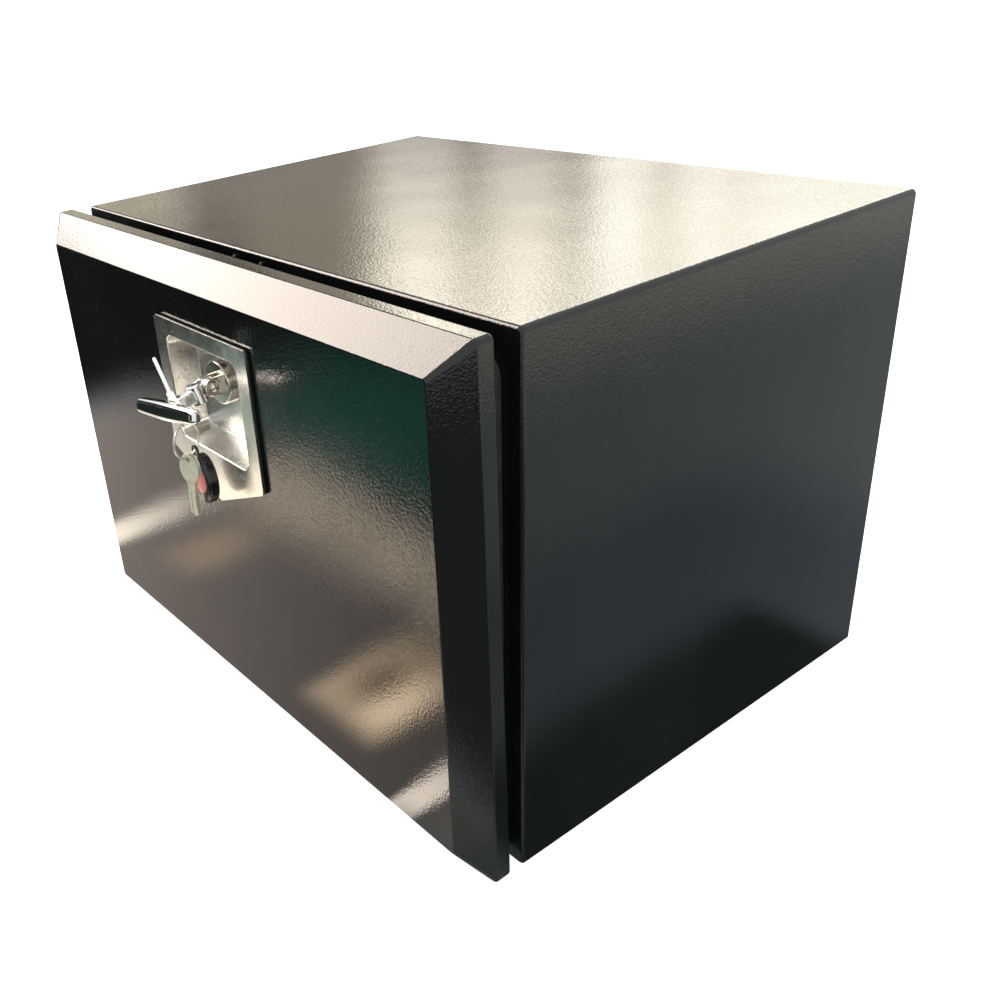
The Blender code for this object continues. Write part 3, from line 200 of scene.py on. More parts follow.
def addFloor():
    made, tree, shader = newMaterial("pale_floor", "#f2f2f0", 0.8)
    path = addNode(tree, "ShaderNodeLightPath")
    white = addNode(tree, "ShaderNodeEmission", {"Strength": 1.0})
    glow = addNode(tree, "ShaderNodeEmission", {"Strength": roomLight["floorGlow"]})
    lit = addNode(tree, "ShaderNodeAddShader", {0: glow.outputs[0], 1: shader.outputs[0]})
    mirrored = addNode(tree, "ShaderNodeMath", {0: path.outputs["Is Glossy Ray"],
                                                1: path.outputs["Is Transmission Ray"]},
                       operation='ADD', use_clamp=True)
    seen = addNode(tree, "ShaderNodeMixShader", {0: path.outputs["Is Camera Ray"],
                                                 1: shader.outputs[0], 2: lit.outputs[0]})
    mix = addNode(tree, "ShaderNodeMixShader", {0: mirrored.outputs[0], 1: seen.outputs[0],
                                                2: white.outputs[0]})
    tree.links.new(mix.outputs[0], tree.nodes["Material Output"].inputs["Surface"])
    below = cadBounds[0][2] - (len(floorCards) + 1) * cardPlace["drop"]
    bpy.ops.mesh.primitive_plane_add(size=roomLight["floorSize"], location=(0, 0, below))
    floor = bpy.context.object
    floor.name = "floor"
    floor.data.materials.append(made)


def addLamp(name, values):
    data = bpy.data.lights.new(name, 'AREA')
    data.shape = 'RECTANGLE'
    data.size, data.size_y = values["size"]
    data.energy = values["power"]
    data.color = toLinear(values["colour"])[:3]
    lamp = bpy.data.objects.new(name, data)
    bpy.context.scene.collection.objects.link(lamp)
    place = toWorld @ Vector(values["place"])
    lamp.location = place
    lamp.rotation_mode = 'QUATERNION'
    lamp.rotation_quaternion = (toWorld @ Vector(values["aim"]) - place).to_track_quat('-Z', 'Y')
    lamp.visible_glossy = False


def cardPaint(name, colour, levels, soft, streak):
    made = bpy.data.materials.new(name)
    made.use_nodes = True
    tree = made.node_tree
    tree.nodes.clear()
    coords = addNode(tree, "ShaderNodeTexCoord")
    parts = addNode(tree, "ShaderNodeSeparateXYZ", {0: coords.outputs["UV"]})
    masks = []
    for socket in (0, 1):
        centred = addNode(tree, "ShaderNodeMath", {0: parts.outputs[socket], 1: 0.5},
                          operation='SUBTRACT')
        away = addNode(tree, "ShaderNodeMath", {0: centred.outputs[0]}, operation='ABSOLUTE')
        masks.append(addNode(tree, "ShaderNodeMapRange",
                             {"Value": away.outputs[0], "From Min": 0.5, "From Max": 0.5 - soft[socket],
                              "To Min": 0.0, "To Max": 1.0}, interpolation_type='SMOOTHSTEP'))
    mask = addNode(tree, "ShaderNodeMath", {0: masks[0].outputs[0], 1: masks[1].outputs[0]},
                   operation='MULTIPLY')
    level = addNode(tree, "ShaderNodeMapRange", {"Value": parts.outputs[1], "To Min": levels[0],
                                                 "To Max": levels[1]})
    across = addNode(tree, "ShaderNodeCombineXYZ", {"X": parts.outputs[0]})
    streaks = addNode(tree, "ShaderNodeTexNoise", {"Vector": across.outputs[0], "Detail": 1.0,
                                                   "Scale": cardPlace["streakScale"]})
    uneven = addNode(tree, "ShaderNodeMapRange", {"Value": streaks.outputs[0], "From Min": 0.3,
                                                  "From Max": 0.7, "To Min": 1 - streak,
                                                  "To Max": 1 + streak / 3})
    level = addNode(tree, "ShaderNodeMath", {0: level.outputs[0], 1: uneven.outputs[0]},
                    operation='MULTIPLY')
    glow = addNode(tree, "ShaderNodeEmission", {"Color": toLinear(colour), "Strength": level.outputs[0]})
    clear = addNode(tree, "ShaderNodeBsdfTransparent")
    mix = addNode(tree, "ShaderNodeMixShader", {0: mask.outputs[0], 1: clear.outputs[0],
                                                2: glow.outputs[0]})
    addNode(tree, "ShaderNodeOutputMaterial", {"Surface": mix.outputs[0]})
    return made


def addCard(name, pose, size, colour, levels, soft, streak=0.0):
    bpy.ops.mesh.primitive_plane_add(size=1)
    card = bpy.context.object
    card.name = name
    card.matrix_world = pose @ Matrix.Diagonal((*size, 1, 1))
    card.data.materials.append(cardPaint(name, colour, levels, soft, streak))
    card.visible_camera = False
    card.visible_diffuse = False
    card.visible_transmission = False
    card.visible_shadow = False


def layCard(name, order, centre, size, degrees, *paint):
    place = toWorld @ Vector((*centre, 0))
    place.z = cadBounds[0][2] - (len(floorCards) - order) * cardPlace["drop"]
    addCard(name, Matrix.Translation(place) @ Matrix.Rotation(radians(degrees), 4, 'Z'), size, *paint)


def standCard(name, azimuth, spread, elevations, distance, *paint):
    angle = radians(azimuth)
    away = Vector((cos(angle), sin(angle), 0))
    low, high = [cardPlace["eye"] + distance * tan(radians(degrees)) for degrees in elevations]
    width = 2 * distance * tan(radians(spread / 2))
    place = toWorld @ (away * distance + Vector((0, 0, (low + high) / 2)))
    turn = Matrix((Vector((sin(angle), -cos(angle), 0)), Vector((0, 0, 1)), -away)).transposed().to_4x4()
    addCard(name, Matrix.Translation(place) @ turn, (width, high - low), *paint)


addRoom()
addFloor()
for name, values in lamps.items():
    addLamp(name, values)
for order, (name, values) in enumerate(floorCards.items()):
    layCard(name, order, *values)
for name, values in wallCards.items():
    standCard(name, *values)
print("room and camera done")


# Materials. Each look has its record slot, and patterns in the object's own coordinates: scale in
# features per metre, detail, and a stretch. Bumps are in metres and lie on one another. Shine is a
# pattern, the part of it that counts and the roughness at both ends. Tint mixes in a second colour.
# A pattern whose detail is None is made of round cells, the others are clouds.

chromeLook = {
    "material": "chrome_plate_on_zinc_casting", "slot": "chrome_plate", "colour": "#e6e7e6",
    "metallic": 1.0, "roughness": 0.055, "patterns": {"ripple": (150.0, 1.0), "haze": (90.0, 4.0)},
    "bumps": {"ripple": 0.00003}, "shine": ("haze", 0.4, 0.75, 0.03, 0.125),
    "tint": ("haze", 0.5, 0.8, 0.0, 0.6), "second": "#cfcdc6"}
looks = {
    # Polyester powder coat, baked on steel: semi-gloss black with a fine pebbled grain, over sheet
    # that isn't quite flat. The grain is 1.9 mm wide, about three times the real one, to show; the
    # sheet waves over 140 mm, and a paler film, part dust and part painted reflection, comes and
    # goes over 200 mm.
    "powder": {
        "material": "powder_coat_black_polyester", "slot": "black_powder_coat", "colour": "#0a0c0c",
        "roughness": 0.075,
        "patterns": {"waves": (7.0, 1.0), "grain": (540.0, 1.0), "fine": (1300.0, 1.0),
                     "patches": (18.0, 4.0), "dustAndReflection": (5.0, 5.0, (1.0, 2.6, 1.0))},
        "bumps": {"waves": 0.0009, "grain": 0.00017, "fine": 0.00001},
        "shine": ("patches", 0.3, 0.7, 0.06, 0.11), "tint": ("dustAndReflection", 0.45, 0.75, 0.0, 0.10),
        "second": "#33332f"},
    # Stainless steel sheet, bright rolled: a warm grey mirror softened by scratches from wiping,
    # 4 mm apart and much longer than wide, with stains about 30 mm across
    "stainless": {
        "material": "stainless_steel_bright_rolled", "slot": "polished_stainless", "colour": "#d6d6d2",
        "metallic": 1.0, "roughness": 0.25,
        "patterns": {"scratches": (260.0, 3.0, (1.0, 1.0, 0.06)), "wavy": (28.0, 1.0),
                     "dull": (60.0, 4.0), "stain": (34.0, 5.0)},
        "bumps": {"scratches": 0.000018, "wavy": 0.00002}, "shine": ("dull", 0.3, 0.7, 0.23, 0.30),
        "tint": ("stain", 0.45, 0.8, 0.0, 0.25), "second": "#c2beb4"},
    # Bright chrome plate on a zinc casting: a cool mirror with the casting's ripple of 7 mm under it
    "chrome": chromeLook,
    # The hub's chrome is a darker, warmer and rougher copy of the handle's: the darker colour is painted
    # shade on the drum, ears and pin down in the dish
    "shadedChrome": {
        **chromeLook, "material": "chrome_plate_dulled_by_handling", "colour": "#c2bdb5",
        "roughness": 0.17, "shine": ("haze", 0.4, 0.75, 0.145, 0.24), "second": "#a8a298"},
    # Zinc electroplate on mild steel: a soft grey sheen with yellowish clouds of 14 mm
    "zinc": {
        "material": "zinc_plated_mild_steel", "slot": "zinc_steel", "colour": "#bfc2c2", "metallic": 1.0,
        "roughness": 0.34, "patterns": {"cloud": (70.0, 4.0), "drawn": (500.0, 2.0, (0.08, 1.0, 1.0))},
        "bumps": {"drawn": 0.00003}, "shine": ("cloud", 0.3, 0.7, 0.27, 0.44),
        "tint": ("cloud", 0.3, 0.7, 0.0, 1.0), "second": "#a9a692"},
    # Black oxide on steel screws: near black with an oily half sheen, mottled over 3 mm
    "oxide": {
        "material": "black_oxide_steel", "slot": "black_oxide_steel", "colour": "#131415",
        "metallic": 1.0, "roughness": 0.52, "patterns": {"mottle": (320.0, 3.0)},
        "bumps": {"mottle": 0.00004}, "tint": ("mottle", 0.45, 0.8, 0.0, 0.6), "second": "#232426"},
    # Spring steel wire of the split ring: bright nickel finish with drawing marks of 1.4 mm
    "wire": {
        "material": "spring_steel_bright_drawn", "slot": "zinc_steel", "colour": "#e4e2d9",
        "metallic": 1.0, "roughness": 0.30, "patterns": {"marks": (700.0, 2.0)},
        "bumps": {"marks": 0.00002}, "shine": ("marks", 0.3, 0.7, 0.26, 0.40)},
    # Nickel-plated brass key blanks: pale greenish grey, rubbed to a duller yellow in patches of
    # 8 mm, under a thin film of dirt that takes away part of the mirror, with fine milling marks
    "brass": {
        "material": "nickel_plated_brass", "slot": "nickel_brass", "colour": "#d3d4c4",
        "metallic": 0.72, "roughness": 0.46,
        "patterns": {"rubbed": (130.0, 4.0), "milled": (900.0, 1.0, (1.0, 1.0, 0.05))},
        "bumps": {"milled": 0.00003}, "shine": ("rubbed", 0.3, 0.7, 0.40, 0.56),
        "tint": ("rubbed", 0.45, 0.75, 0.0, 0.85), "second": "#bdb493"},
    # EPDM rubber, extruded: matt charcoal with a light chalky bloom over 20 mm and a 1 mm tooth
    "rubber": {
        "material": "epdm_rubber_extruded", "slot": "black_rubber", "colour": "#151516",
        "roughness": 0.66, "patterns": {"bloom": (45.0, 5.0), "tooth": (900.0, 2.0)},
        "bumps": {"tooth": 0.00006}, "shine": ("bloom", 0.3, 0.7, 0.58, 0.76),
        "tint": ("bloom", 0.4, 0.75, 0.0, 0.6), "second": "#2b2b2a"},
    # Neoprene sponge of the dish gasket: dull black with open cells of 0.9 mm along its cut edge
    "sponge": {
        "material": "neoprene_sponge_die_cut", "slot": "black_rubber", "colour": "#121213",
        "roughness": 0.85, "patterns": {"cells": (1100.0, None)}, "bumps": {"cells": 0.00022},
        "tint": ("cells", 0.0, 0.5, 1.0, 0.0), "second": "#242424"},
    # ABS of the fob, moulded with a gloss finish: deep black, flow marks of 6 mm, small scuffs
    "abs": {
        "material": "abs_gloss_moulded", "slot": "black_plastic", "colour": "#0b0b0d", "roughness": 0.14,
        "patterns": {"scuffs": (420.0, 3.0, (1.0, 1.0, 0.12)), "flow": (160.0, 1.0)},
        "bumps": {"flow": 0.00005}, "shine": ("scuffs", 0.45, 0.75, 0.10, 0.24),
        "sockets": {"Coat Weight": 0.25, "Coat Roughness": 0.08}},
    # Natural nylon 6.6 of the cable tie: milky, lets some light through, a soft moulded sheen
    "nylon": {
        "material": "nylon_natural_moulded", "slot": "white_nylon", "colour": "#faf8f1",
        "roughness": 0.36, "patterns": {"milky": (160.0, 3.0), "skin": (700.0, 2.0)},
        "bumps": {"skin": 0.00004}, "tint": ("milky", 0.3, 0.7, 0.0, 0.7), "second": "#efebdf",
        "sockets": {"Subsurface Weight": 0.35, "Subsurface Scale": 0.0012}},
    # Cast resin of the fob's inset: pale red, slightly cloudy over 4 mm under a clear domed skin
    "resin": {
        "material": "cast_resin_pale_red", "slot": "pink_resin", "colour": "#cf6f6c",
        "roughness": 0.22, "patterns": {"cloudy": (260.0, 4.0), "skin": (300.0, 1.0)},
        "bumps": {"skin": 0.00004}, "tint": ("cloudy", 0.3, 0.7, 0.0, 0.8), "second": "#b9524f",
        "sockets": {"Coat Weight": 0.7, "Coat Roughness": 0.06}},
}
noiseRoughness = 0.55


def addFinish(look):
    made, tree, shader = newMaterial(look["material"], look["colour"], look["roughness"],
                                     look.get("metallic", 0.0))
    coords = addNode(tree, "ShaderNodeTexCoord")
    patterns = {}
    for name, (scale, detail, *stretch) in look["patterns"].items():
        vector = coords.outputs["Object"]
        if stretch:
            vector = addNode(tree, "ShaderNodeMapping", {"Vector": vector, "Scale": stretch[0]}).outputs[0]
        if detail is None:
            pattern = addNode(tree, "ShaderNodeTexVoronoi", {"Vector": vector, "Scale": scale})
        else:
            pattern = addNode(tree, "ShaderNodeTexNoise", {"Vector": vector, "Scale": scale,
                                                           "Detail": detail, "Roughness": noiseRoughness})
        patterns[name] = pattern.outputs[0]
    under = {}
    for name, distance in look["bumps"].items():
        bump = addNode(tree, "ShaderNodeBump", {"Height": patterns[name], "Distance": distance,
                                                "Strength": 1.0, **under})
        under = {"Normal": bump.outputs[0]}
    tree.links.new(under["Normal"], shader.inputs["Normal"])
    ranges = {}
    for use in ("shine", "tint"):
        if use in look:
            name, start, end, low, high = look[use]
            ranges[use] = addNode(tree, "ShaderNodeMapRange", {
                "Value": patterns[name], "From Min": start, "From Max": end, "To Min": low,
                "To Max": high}).outputs[0]
    if "shine" in ranges:
        tree.links.new(ranges["shine"], shader.inputs["Roughness"])
    if "tint" in ranges:
        mix = addNode(tree, "ShaderNodeMix", {0: ranges["tint"]}, data_type='RGBA')
        mix.inputs[6].default_value = toLinear(look["colour"])
        mix.inputs[7].default_value = toLinear(look["second"])
        tree.links.new(mix.outputs[2], shader.inputs["Base Color"])
    for name, value in look.get("sockets", {}).items():
        shader.inputs[name].default_value = value
    return made, look["slot"]


finishes = {name: addFinish(look) for name, look in looks.items()}
print("materials done")


# Shape tools. Outlines are lists of (a, b) points; a pose puts a finished piece in its place.

def rounded(corners, radii, steps=6, closed=True):
    # Rounds the corners of an outline, by one radius or by each its own
    points = []
    count = len(corners)
    for index, corner in enumerate(corners):
        here = Vector(corner)
        radius = radii[index] if isinstance(radii, (list, tuple)) else radii
        if not radius or (not closed and index in (0, count - 1)):
            points.append(tuple(here))
            continue
        before = (Vector(corners[index - 1]) - here).normalized()
        after = (Vector(corners[(index + 1) % count]) - here).normalized()
        half = before.angle(after) / 2
        centre = here + (before + after).normalized() * (radius / sin(half))
        start = here + before * (radius / tan(half)) - centre
        turn = start.angle_signed(here + after * (radius / tan(half)) - centre)
        for step in range(steps + 1):
            angle = -turn * step / steps
            points.append((centre.x + start.x * cos(angle) - start.y * sin(angle),
                           centre.y + start.x * sin(angle) + start.y * cos(angle)))
    return points


def rectangle(half, low, high, radius, steps=8):
    return rounded([(half, low), (half, high), (-half, high), (-half, low)], radius, steps)


def circle(radius, centre=(0, 0), sides=40):
    return [(centre[0] + radius * cos(2 * pi * side / sides),
             centre[1] + radius * sin(2 * pi * side / sides)) for side in range(sides)]


def arc(centre, radius, start, end, steps):
    angles = [start + (end - start) * step / steps for step in range(steps + 1)]
    return [(centre[0] + radius * cos(angle), centre[1] + radius * sin(angle)) for angle in angles]


def capsule(start, end, radius, steps=14):
    left = arc((start, 0), radius, pi / 2, 3 * pi / 2, steps)
    return arc((end, 0), radius, -pi / 2, pi / 2, steps) + left


def throughY(outline, depth):
    return [(x, depth, z) for x, z in outline]


def newObject(name, mesh):
    made = bpy.data.objects.new(name, mesh)
    bpy.context.scene.collection.objects.link(made)
    return made


def fromBuilder(name, builder, tidyNormals=True):
    if tidyNormals:
        bmesh.ops.recalc_face_normals(builder, faces=builder.faces[:])
    mesh = bpy.data.meshes.new(name)
    builder.to_mesh(mesh)
    builder.free()
    return newObject(name, mesh)


def loft(name, rings, around=True, along=False, capped=False):
    # Joins rings of points into a skin
    builder = bmesh.new()
    made = [[builder.verts.new(point) for point in ring] for ring in rings]
    count = len(rings[0])
    for lower, upper in list(zip(made, made[1:])) + ([(made[-1], made[0])] if along else []):
        for index in range(count if around else count - 1):
            following = (index + 1) % count
            builder.faces.new((lower[index], lower[following], upper[following], upper[index]))
    if capped:
        builder.faces.new(made[0])
        builder.faces.new(made[-1])
    return fromBuilder(name, builder)


def fillBetween(item, outer, inner=None):
    # Closes the flat field inside a ring, or between it and a cut-out
    builder = bmesh.new()
    builder.from_mesh(item.data)
    edges = []
    for ring in (outer, inner or []):
        loop = []
        for point in ring:
            place = Vector(point)
            near = min(builder.verts, key=lambda vert: (vert.co - place).length)
            loop.append(near if (near.co - place).length < 0.00001 else builder.verts.new(place))
        for first, second in zip(loop, loop[1:] + loop[:1]):
            edges.append(builder.edges.get((first, second)) or builder.edges.new((first, second)))
    bmesh.ops.triangle_fill(builder, edges=edges, use_beauty=True)
    bmesh.ops.recalc_face_normals(builder, faces=builder.faces[:])
    builder.to_mesh(item.data)
    builder.free()
    return item


def facesToward(item, place, direction):
    # Turns a sheet inside out where its face at a place looks the other way
    near = min(item.data.polygons, key=lambda face: (face.center - Vector(place)).length)
    if near.normal.dot(Vector(direction)) < 0:
        item.data.flip_normals()
    return item


def thickened(item, thickness):
    solid = item.modifiers.new("thickness", 'SOLIDIFY')
    solid.thickness = thickness
    solid.offset = -1
    solid.use_even_offset = True
    solid.use_quality_normals = True
    return item


def edged(item, width, segments=2, limit=50):
    edge = item.modifiers.new("edge", 'BEVEL')
    edge.width = width
    edge.segments = segments
    edge.limit_method = 'ANGLE'
    edge.angle_limit = radians(limit)
    return item


axisTurns = {'Y': Matrix.Rotation(pi / 2, 4, 'X'),
             'X': Matrix(((0, 0, 1, 0), (1, 0, 0, 0), (0, 1, 0, 0), (0, 0, 0, 1))),
             'Z': Matrix.Identity(4)}


def plate(name, outlines, low, high, axis='Y', edge=0.0003):
    # A flat outline with its holes, extruded along one axis, with rounded edges
    curve = bpy.data.curves.new(name, 'CURVE')
    curve.dimensions = '2D'
    curve.fill_mode = 'BOTH'
    curve.extrude = abs(high - low) / 2 - edge
    curve.bevel_depth = edge
    curve.bevel_resolution = 1
    curve.offset = -edge
    for outline in outlines:
        spline = curve.splines.new('POLY')
        spline.points.add(len(outline) - 1)
        for point, place in zip(spline.points, outline):
            point.co = (place[0], place[1], 0, 1)
        spline.use_cyclic_u = True
    held = bpy.data.objects.new(name, curve)
    bpy.context.scene.collection.objects.link(held)
    graph = bpy.context.evaluated_depsgraph_get()
    mesh = bpy.data.meshes.new_from_object(held.evaluated_get(graph))
    bpy.data.objects.remove(held, do_unlink=True)
    builder = bmesh.new()
    builder.from_mesh(mesh)
    bmesh.ops.remove_doubles(builder, verts=builder.verts[:], dist=0.000002)
    bmesh.ops.transform(builder, matrix=axisTurns[axis], verts=builder.verts[:])
    middle = (low + high) / 2
    offset = {'X': (middle, 0, 0), 'Y': (0, middle, 0), 'Z': (0, 0, middle)}[axis]
    bmesh.ops.translate(builder, vec=offset, verts=builder.verts[:])
    return fromBuilder(name, builder)


def turned(name, profile, sides=64, closed=False):
    # A profile of (radius, height) points turned about Z
    builder = bmesh.new()
    rings = []
    for radius, height in profile:
        count = sides if radius > 1e-7 else 1
        rings.append([builder.verts.new((radius * cos(2 * pi * side / sides),
                                         radius * sin(2 * pi * side / sides), height))
                      for side in range(count)])
    for upper, lower in list(zip(rings, rings[1:])) + ([(rings[-1], rings[0])] if closed else []):
        for side in range(sides):
            corners = [upper[side % len(upper)], upper[(side + 1) % sides % len(upper)],
                       lower[(side + 1) % sides % len(lower)], lower[side % len(lower)]]
            corners = list(dict.fromkeys(corners))
            if len(corners) > 2:
                builder.faces.new(corners)
    return fromBuilder(name, builder)


def pointed(item, place, direction):
    item.data.transform(Matrix.Translation(place)
                        @ Vector(direction).to_track_quat('Z', 'Y').to_matrix().to_4x4())
    return item


def rod(name, radius, start, end, edge=0.0, sides=40):
    length = (Vector(end) - Vector(start)).length
    profile = [(0, length), (radius, length), (radius, 0), (0, 0)]
    made = turned(name, rounded(profile, [0, edge, edge, 0], 3, closed=False) if edge else profile, sides)
    return pointed(made, start, Vector(end) - Vector(start))


def joined(name, items):
    builder = bmesh.new()
    for item in items:
        builder.from_mesh(plainMesh(item))
        bpy.data.objects.remove(item, do_unlink=True)
    return fromBuilder(name, builder, tidyNormals=False)


def plainMesh(item):
    graph = bpy.context.evaluated_depsgraph_get()
    return bpy.data.meshes.new_from_object(item.evaluated_get(graph), preserve_all_data_layers=True,
                                           depsgraph=graph)


def carved(item, tools, operation='DIFFERENCE'):
    # Cuts with, or joins, other shapes at once, and drops them
    for tool in tools:
        step = item.modifiers.new(operation.lower(), 'BOOLEAN')
        step.operation = operation
        step.solver = 'EXACT'
        step.object = tool
        item.data = plainMesh(item)
        item.modifiers.clear()
        bpy.data.objects.remove(tool, do_unlink=True)
    return item


def copiesTree(name, inputs):
    # Repeats a piece along a straight line, or puts it on each point of another object, turned about
    # one axis by a seeded random angle, and gives the copies their material
    tree = bpy.data.node_groups.new(name, 'GeometryNodeTree')
    kinds = {"Geometry": "Geometry", **inputs, "Finish": "Material"}
    for socket, kind in kinds.items():
        tree.interface.new_socket(socket, in_out='INPUT', socket_type="NodeSocket" + kind)
    tree.interface.new_socket("Geometry", in_out='OUTPUT', socket_type='NodeSocketGeometry')
    given = addNode(tree, "NodeGroupInput").outputs
    spots = {"Instance": given["Geometry"]}
    if "Step" in inputs:
        line = addNode(tree, "GeometryNodeMeshLine", {"Count": given["Count"], "Offset": given["Step"]},
                       mode='OFFSET')
        spots["Points"] = line.outputs[0]
    else:
        places = addNode(tree, "GeometryNodeObjectInfo", {"Object": given["Places"]})
        angle = addNode(tree, "FunctionNodeRandomValue", {"Seed": given["Seed"], 2: 0.0, 3: 2 * pi},
                        data_type='FLOAT')
        turn = addNode(tree, "FunctionNodeAxisAngleToRotation", {"Axis": given["Axis"],
                                                                 "Angle": angle.outputs[1]})
        spots.update(Points=places.outputs["Geometry"], Rotation=turn.outputs[0])
    copies = addNode(tree, "GeometryNodeInstanceOnPoints", spots)
    real = addNode(tree, "GeometryNodeRealizeInstances", {"Geometry": copies.outputs[0]})
    paint = addNode(tree, "GeometryNodeSetMaterial", {"Geometry": real.outputs[0],
                                                      "Material": given["Finish"]})
    addNode(tree, "NodeGroupOutput", {"Geometry": paint.outputs[0]})
    return tree


trees = {"line": copiesTree("repeat_along_line", {"Count": "Int", "Step": "Vector"}),
         "places": copiesTree("place_on_points", {"Places": "Object", "Axis": "Vector", "Seed": "Int"})}


def withTree(item, kind, values):
    step = item.modifiers.new(kind, 'NODES')
    step.node_group = trees[kind]
    for socket in trees[kind].interface.items_tree:
        if socket.in_out == 'INPUT' and socket.name in values:
            step[socket.identifier] = values[socket.name]
    item.data = plainMesh(item)
    item.modifiers.clear()
    return item


def repeated(item, count, step, finish):
    return withTree(item, "line", {"Count": count, "Step": step, "Finish": finishes[finish][0]})


def placed(item, places, axis, finish, seed=7):
    builder = bmesh.new()
    for place in places:
        builder.verts.new(place)
    marks = fromBuilder("places", builder)
    withTree(item, "places", {"Places": marks, "Axis": axis, "Seed": seed,
                              "Finish": finishes[finish][0]})
    bpy.data.objects.remove(marks, do_unlink=True)
    return item


def finished(item, body, finish, pose, nodes=(), sharp=38):
    # Puts a piece in its place, paints it, gives it its body, and hides the imported nodes that it replaces
    mesh = plainMesh(item)
    name = item.name
    mesh.transform(pose @ item.matrix_world)
    bpy.data.objects.remove(item, do_unlink=True)
    mesh.shade_smooth()
    mesh.set_sharp_from_angle(angle=radians(sharp))
    made = newObject(name, mesh)
    made.name = name
    weigh = made.modifiers.new("weigh", 'WEIGHTED_NORMAL')
    weigh.keep_sharp = True
    made.data = plainMesh(made)
    made.modifiers.clear()
    made.data.name = name
    made.data.materials.clear()
    made.data.materials.append(finishes[finish][0])
    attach(made, body)
    if nodes:
        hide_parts(*nodes)
    return made


# Sizes that neighbouring pieces share, and the places that follow from them
common = {"sheet": 0.002, "gap": 0.0003, "doorGap": 0.0103, "ajar": 1.29, "hingeHeight": 0.004,
          "latchFromTop": 0.104, "doorRise": 0.0016, "linerField": 0.0046, "height": 0.4343,
          "width": 0.610}
sheet, gap = common["sheet"], common["gap"]
half, top = common["width"] / 2, common["height"]
doorTop = top + common["doorRise"]
doorBack = -common["doorGap"]
hingeY = doorBack / 2
latchHeight = doorTop - common["latchFromTop"]


def about(place, angle, axis):
    return Matrix.Translation(place) @ Matrix.Rotation(angle, 4, axis) @ Matrix.Translation(-Vector(place))


hingePlace = Vector((0, hingeY, common["hingeHeight"]))
doorPose = toWorld @ about(hingePlace, radians(common["ajar"]), 'X')

# Body: one folded sheet, lipped at the front, with a pan let into the back
body = {"depth": 0.4425, "corner": 0.005, "bend": 0.003, "flange": 0.032, "openingRadius": 0.008,
        "rearLip": 0.015, "screwFromTop": 0.0103, "screwSpacing": 0.040, "screwHole": 0.0023,
        "edge": 0.0004}
# Stitch welds that hold the pan, as rows of low beads: where the rows lie across the top and the
# bottom and up the sides, and a bead's profile
weld = {"across": (-0.22, -0.11, 0, 0.11, 0.22), "up": (0.09, 0.217, 0.344), "inset": 0.0034,
        "sink": 0.0002, "beads": 9, "pitch": 0.0024,
        "profile": ((0, 0.0011), (0.0021, 0.0009), (0.0026, 0)), "round": 0.0008}


def sheetRings(halfWidth, low, high, corner, stations):
    rings = []
    for inset, depth, radius in stations:
        own = max(corner - inset, 0.001) if radius is None else radius
        rings.append(throughY(rectangle(halfWidth - inset, low + inset, high - inset, own), depth))
    return rings


def bendStations(radius, depth, side, steps=6):
    angles = [pi / 2 * step / steps for step in range(steps + 1)]
    return [(radius * (1 - cos(angle)), depth + side * radius * (1 - sin(angle)), None)
            for angle in angles]


def buildBody():
    stations = [(0, body["depth"], None)] + bendStations(body["bend"], 0, 1)
    stations.append((body["flange"], 0, body["openingRadius"]))
    shell = loft("body_folded_sheet", sheetRings(half, 0, top, body["corner"], stations))
    facesToward(shell, (half, body["depth"] / 2, top / 2), (1, 0, 0))
    thickened(shell, sheet)
    shell.data = plainMesh(shell)
    shell.modifiers.clear()
    places = [(side * body["screwSpacing"] / 2, top - body["screwFromTop"]) for side in (-1, 1)]
    carved(shell, [rod("hole", body["screwHole"], (x, -2 * sheet, z), (x, 2 * sheet, z), sides=24)
                   for x, z in places])
    edged(shell, body["edge"], 2, 60)
    finished(shell, "cabinet", "powder", toWorld, ["body_shell"])
    inset = sheet + gap
    stations = [(0, body["depth"] - body["rearLip"], None)] + [
        (place, depth, None) for place, depth, _ in bendStations(body["bend"], body["depth"], -1)]
    rings = sheetRings(half - inset, inset, top - inset, body["corner"] - sheet, stations)
    pan = loft("rear_pan_sheet", rings)
    fillBetween(pan, rings[-1])
    facesToward(pan, (0, body["depth"], top / 2), (0, 1, 0))
    thickened(pan, sheet)
    edged(pan, body["edge"], 2, 60)
    finished(pan, "cabinet", "powder", toWorld, ["back_panel"])
    bead = turned("stitch_welds", rounded(weld["profile"], [0, weld["round"], 0], 4, closed=False), 20)
    bead.data.transform(Matrix.Rotation(-pi / 2, 4, 'X'))
    shifts = [(step - weld["beads"] // 2) * weld["pitch"] for step in range(weld["beads"])]
    back, inset = body["depth"] - weld["sink"], weld["inset"]
    places = [(along + shift, back, z) for along in weld["across"] for shift in shifts
              for z in (inset, top - inset)]
    places += [(x, back, height + shift) for height in weld["up"] for shift in shifts
               for x in (half - inset, inset - half)]
    placed(bead, places, (0, 1, 0), "powder", 3)
    finished(bead, "cabinet", "powder", toWorld)


buildBody()
print("body done")

# Door seal: hollow D section of rubber round the opening, butted at the foot
seal = {"inset": 0.025, "width": 0.014, "height": 0.0093, "wall": 0.0016, "corner": 0.014,
        "butt": 0.001, "base": 0.0003}


